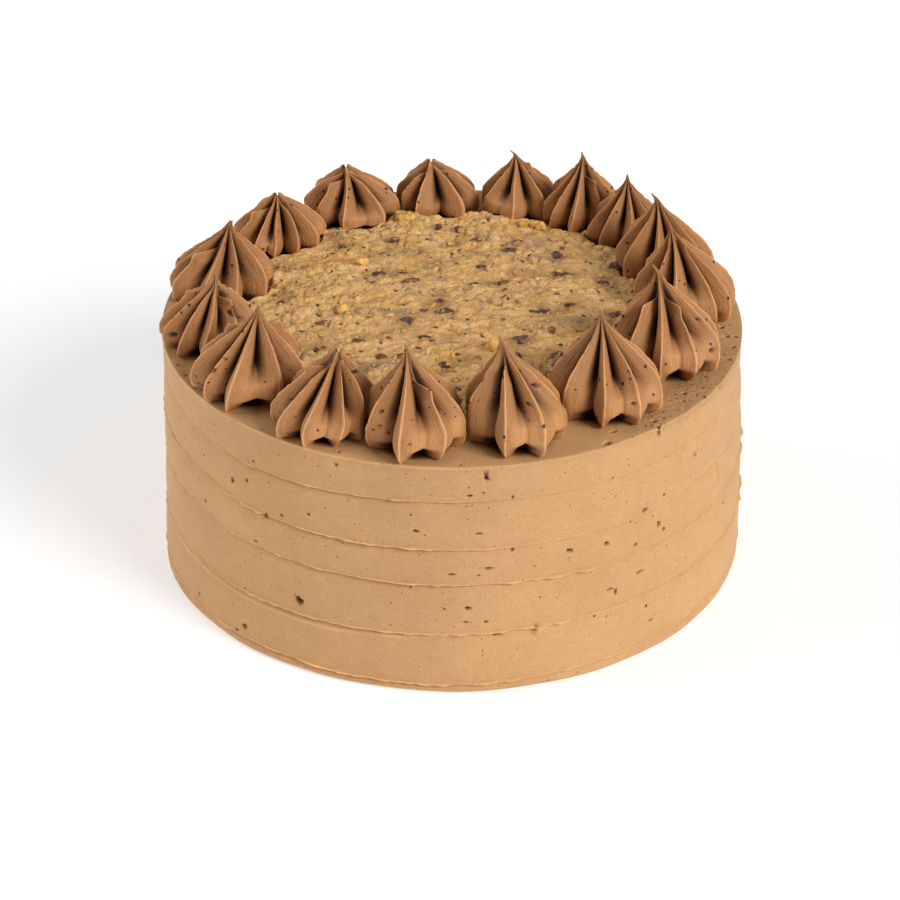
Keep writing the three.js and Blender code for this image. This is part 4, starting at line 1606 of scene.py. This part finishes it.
def scatter_tree(name):
    """Geometry nodes that scatter copies of an object over a surface."""
    tree = bpy.data.node_groups.new(name, "GeometryNodeTree")
    for label, kind in (
        ("Surface", "Geometry"), ("Copied", "Object"), ("Spacing", "Float"),
        ("Density", "Float"), ("Smallest", "Vector"), ("Largest", "Vector"),
        ("Tilt", "Float"), ("Seed", "Int"), ("Material", "Material"),
    ):
        tree.interface.new_socket(label, in_out="INPUT", socket_type="NodeSocket" + kind)
    tree.interface.new_socket("Pieces", in_out="OUTPUT", socket_type="NodeSocketGeometry")
    nodes = Nodes(tree)
    given = nodes.add("NodeGroupInput").outputs
    tilt = given["Tilt"]
    back = nodes.times(tilt, -1.0)
    low = nodes.add("ShaderNodeCombineXYZ", X=back, Y=back, Z=0.0).outputs[0]
    high = nodes.add("ShaderNodeCombineXYZ", X=tilt, Y=tilt, Z=2 * math.pi).outputs[0]
    size_seed = nodes.maths("ADD", given["Seed"], 5.0)
    points = nodes.add(
        "GeometryNodeDistributePointsOnFaces", {"distribute_method": "POISSON"},
        Mesh=given["Surface"], Distance_Min=given["Spacing"],
        Density_Max=given["Density"], Seed=given["Seed"],
    )
    source = nodes.add("GeometryNodeObjectInfo", Object=given["Copied"])
    copies = nodes.add(
        "GeometryNodeInstanceOnPoints",
        Points=points.outputs["Points"], Instance=source.outputs["Geometry"],
        Rotation=random_vectors(nodes, low, high, given["Seed"]),
        Scale=random_vectors(nodes, given["Smallest"], given["Largest"], size_seed),
    )
    real = nodes.add("GeometryNodeRealizeInstances", Geometry=copies.outputs[0])
    painted = nodes.add(
        "GeometryNodeSetMaterial", Geometry=real.outputs[0], Material=given["Material"]
    )
    nodes.add("NodeGroupOutput", Pieces=painted.outputs[0])
    return tree


def scatter(name, surface, copied, material, **sizes):
    """A mesh of copies scattered over a surface by geometry nodes, then made plain."""
    tree = bpy.data.node_groups.get("Scatter Over") or scatter_tree("Scatter Over")
    carrier = add_object(name + "_carrier", surface)
    modifier = carrier.modifiers.new("Scatter", "NODES")
    modifier.node_group = tree
    values = {"Copied": copied, "Material": material, **sizes}
    for item in tree.interface.items_tree:
        if item.item_type == "SOCKET" and item.in_out == "INPUT" and item.name in values:
            modifier[item.identifier] = values[item.name]
    carrier.update_tag()
    bpy.context.view_layer.update()
    seen = carrier.evaluated_get(bpy.context.evaluated_depsgraph_get())
    mesh = bpy.data.meshes.new_from_object(seen)
    mesh.name = name
    carrier.modifiers.clear()
    bpy.data.objects.remove(carrier)
    return add_object(name, mesh)


def open_top(settings, name):
    """The part of the topping's top that the dollops leave bare, for scattering on."""
    margin = TOPPING_EDGE / 2
    bearings = np.arange(0, 360, 3.0)
    reach = topping_reach(bearings, settings) - margin
    rings = []
    for share in np.linspace(0.04, 1.0, 34):
        x = reach * share * np.cos(np.radians(bearings))
        y = reach * share * np.sin(np.radians(bearings))
        ring = np.stack([x, y, np.zeros_like(x)], -1)
        lift_topping(ring, share, reach * (1 - share) + margin, settings)
        rings.append(ring)
    index, turned = round_grid(len(rings), len(bearings))
    quads = np.stack([index[:-1], index[1:], turned[1:], turned[:-1]], -1).reshape(-1, 4)
    mesh = bpy.data.meshes.new(name)
    mesh.from_pydata(np.vstack(rings).tolist(), [], quads.tolist())
    return mesh


def nut_materials():
    """The materials of the bits and grains: skin or outside, flesh, gloss and film."""
    kinds = {
        "dark": ("dark pecan", (0.095, 0.045, 0.038), (0.25, 0.13, 0.09), 0.55, 0.1),
        "red": ("red pecan skin", (0.16, 0.055, 0.022), (0.3, 0.14, 0.055), 0.4, 0.07),
        "gold": ("golden pecan", (0.74, 0.40, 0.085), (0.8, 0.5, 0.16), 0.32, 0.0),
        "pale": ("coconut shred", (0.52, 0.34, 0.15), (0.6, 0.42, 0.22), 0.4, 0.14),
    }
    return {kind: nut_material(*values) for kind, values in kinds.items()}


def make_topping(settings):
    """The coconut spread and all that is in it."""
    spread = add_object("coconut_spread", topping_mesh(settings))
    finish_piece(spread, topping_material(settings), "coconut_pecan", "coconut_pecan_topping")
    materials = nut_materials()
    for name, bits, seed, kind, thickness, raised in (
        ("pecan_bits", DARK_BITS, 3, "dark", 0.3, 0.7),
        ("pecan_skins", RED_BITS, 41, "red", 0.3, 0.8),
        ("golden_chunks", GOLDEN_BITS, 77, "gold", 0.45, 2.2),
    ):
        piece = make_bits(name, bits, seed, settings, thickness, raised)
        finish_piece(piece, materials[kind], "coconut_pecan")
    grain = add_object("one_grain", lump_mesh("one_grain", 2, 5, 0.5))
    for name, kind, spacing, smallest, largest, tilt, seed in SCATTERED:
        piece = scatter(
            name, open_top(settings, name), grain, materials[kind],
            Spacing=spacing * MM, Density=SCATTER_DENSITY,
            Smallest=[size * MM for size in smallest], Largest=[size * MM for size in largest],
            Tilt=tilt, Seed=settings.grains + seed,
        )
        finish_piece(piece, materials[kind], "coconut_pecan")
    bpy.data.objects.remove(grain)


def floor_material(colour):
    """A pale floor that also glows a little, which keeps its shadows light."""
    material, nodes, shader, place = new_material("studio floor")
    cloud = nodes.noise(place, 6.0, 2.0, 0.5)
    clouded = nodes.speckled(tuple(colour), cloud, 0.3, 0.7, (0.99, 0.99, 0.99), (1, 1, 1))
    nodes.feed(shader, "Base Color", clouded)
    set_gloss(shader, 0.9, 0.1)
    shader.inputs["Emission Color"].default_value = (1, 1, 1, 1)
    shader.inputs["Emission Strength"].default_value = 0.5
    return material


def add_soft_light(name, toward, strength, spread):
    """A large soft light, far away in the direction given, that spreads over degrees."""
    data = bpy.data.lights.new(name, "SUN")
    data.energy = strength
    data.angle = math.radians(spread)
    light = bpy.data.objects.new(name, data)
    light.location = Vector(toward) * 2.0
    light.rotation_euler = Vector(toward).to_track_quat("Z", "Y").to_euler()
    bpy.context.scene.collection.objects.link(light)


def make_floor(settings):
    shape = bmesh.new()
    bmesh.ops.create_grid(shape, x_segments=4, y_segments=4, size=settings.floor_size / 2)
    mesh = bpy.data.meshes.new("floor")
    shape.to_mesh(mesh)
    shape.free()
    floor = add_object("floor", mesh)
    mesh.materials.append(floor_material(settings.floor_colour))


def light_room(strength):
    """Even light all round."""
    world = bpy.data.worlds.new("room")
    world.use_nodes = True
    background = world.node_tree.nodes["Background"]
    background.inputs["Color"].default_value = (1, 1, 1, 1)
    background.inputs["Strength"].default_value = strength
    bpy.context.scene.world = world


def add_camera(settings):
    data = bpy.data.cameras.new("camera")
    data.sensor_width = 36.0
    data.lens = settings.lens
    data.clip_start = 0.01
    camera = bpy.data.objects.new("camera", data)
    rise = settings.camera_elevation
    back = Vector((0.0, -math.cos(rise), math.sin(rise)))
    camera.location = Vector(settings.target) + back * settings.camera_distance
    camera.rotation_euler = back.to_track_quat("Z", "Y").to_euler()
    bpy.context.scene.collection.objects.link(camera)
    bpy.context.scene.camera = camera


def make_stage(settings):
    """Floor, lights, room light and the camera at the photograph's angle."""
    make_floor(settings)
    add_soft_light("overhead", (0.1, 0.1, 1.0), settings.overhead_light, 70)
    add_soft_light("key", (0.68, -0.54, 0.53), settings.key_light, 28)
    add_soft_light("fill", (-0.95, 0.08, 0.36), settings.fill_light, 50)
    light_room(settings.world_strength)
    bpy.context.scene.view_settings.view_transform = "Standard"
    add_camera(settings)


class CAKE_OT_icing(bpy.types.Operator):
    """Make the frosted body of the cake"""

    bl_idname = "cake.icing"
    bl_label = "Frosted Body"

    def execute(self, context):
        settings = context.scene.cake_icing
        piece = make_icing(settings)
        finish_piece(piece, side_material(settings), "buttercream_side", "frosted_body")
        return {"FINISHED"}


class CAKE_OT_topping(bpy.types.Operator):
    """Spread the coconut and pecan topping"""

    bl_idname = "cake.topping"
    bl_label = "Coconut Topping"

    def execute(self, context):
        make_topping(context.scene.cake_topping)
        return {"FINISHED"}


class CAKE_OT_dollops(bpy.types.Operator):
    """Pipe the ring of star dollops round the rim"""

    bl_idname = "cake.dollops"
    bl_label = "Piped Dollops"

    def execute(self, context):
        settings = context.scene.cake_dollops
        material = dollop_material(settings)
        for number in range(len(DOLLOPS)):
            piece = make_dollop(number, settings)
            node = f"star_dollop_{number + 1:02d}"
            finish_piece(piece, material, "buttercream_dollop", node)
        return {"FINISHED"}


class CAKE_OT_stage(bpy.types.Operator):
    """Set up the floor, the lights and the camera"""

    bl_idname = "cake.stage"
    bl_label = "Studio Stage"

    def execute(self, context):
        make_stage(context.scene.cake_stage)
        return {"FINISHED"}


class CAKE_PT_panel(bpy.types.Panel):
    """Lists the steps that make the cake"""

    bl_idname = "CAKE_PT_panel"
    bl_label = "Iced Layer Cake"
    bl_space_type = "VIEW_3D"
    bl_region_type = "UI"
    bl_category = "Cake"

    def draw(self, context):
        for operator, group in (
            ("cake.icing", context.scene.cake_icing),
            ("cake.topping", context.scene.cake_topping),
            ("cake.dollops", context.scene.cake_dollops),
            ("cake.stage", context.scene.cake_stage),
        ):
            box = self.layout.box()
            for name in group.bl_rna.properties.keys():
                if name not in {"rna_type", "name"}:
                    box.prop(group, name)
            box.operator(operator)


CLASSES = (
    IcingSettings,
    ToppingSettings,
    DollopSettings,
    StageSettings,
    CAKE_OT_icing,
    CAKE_OT_topping,
    CAKE_OT_dollops,
    CAKE_OT_stage,
    CAKE_PT_panel,
)


def register():
    for item in CLASSES:
        bpy.utils.register_class(item)
    bpy.types.Scene.cake_icing = PointerProperty(type=IcingSettings)
    bpy.types.Scene.cake_topping = PointerProperty(type=ToppingSettings)
    bpy.types.Scene.cake_dollops = PointerProperty(type=DollopSettings)
    bpy.types.Scene.cake_stage = PointerProperty(type=StageSettings)


def unregister():
    del bpy.types.Scene.cake_stage
    del bpy.types.Scene.cake_dollops
    del bpy.types.Scene.cake_topping
    del bpy.types.Scene.cake_icing
    for item in reversed(CLASSES):
        bpy.utils.unregister_class(item)


def main():
    register()
    bpy.ops.cake.stage()
    bpy.ops.cake.icing()
    bpy.ops.cake.topping()
    bpy.ops.cake.dollops()


if __name__ == "__main__":
    main()
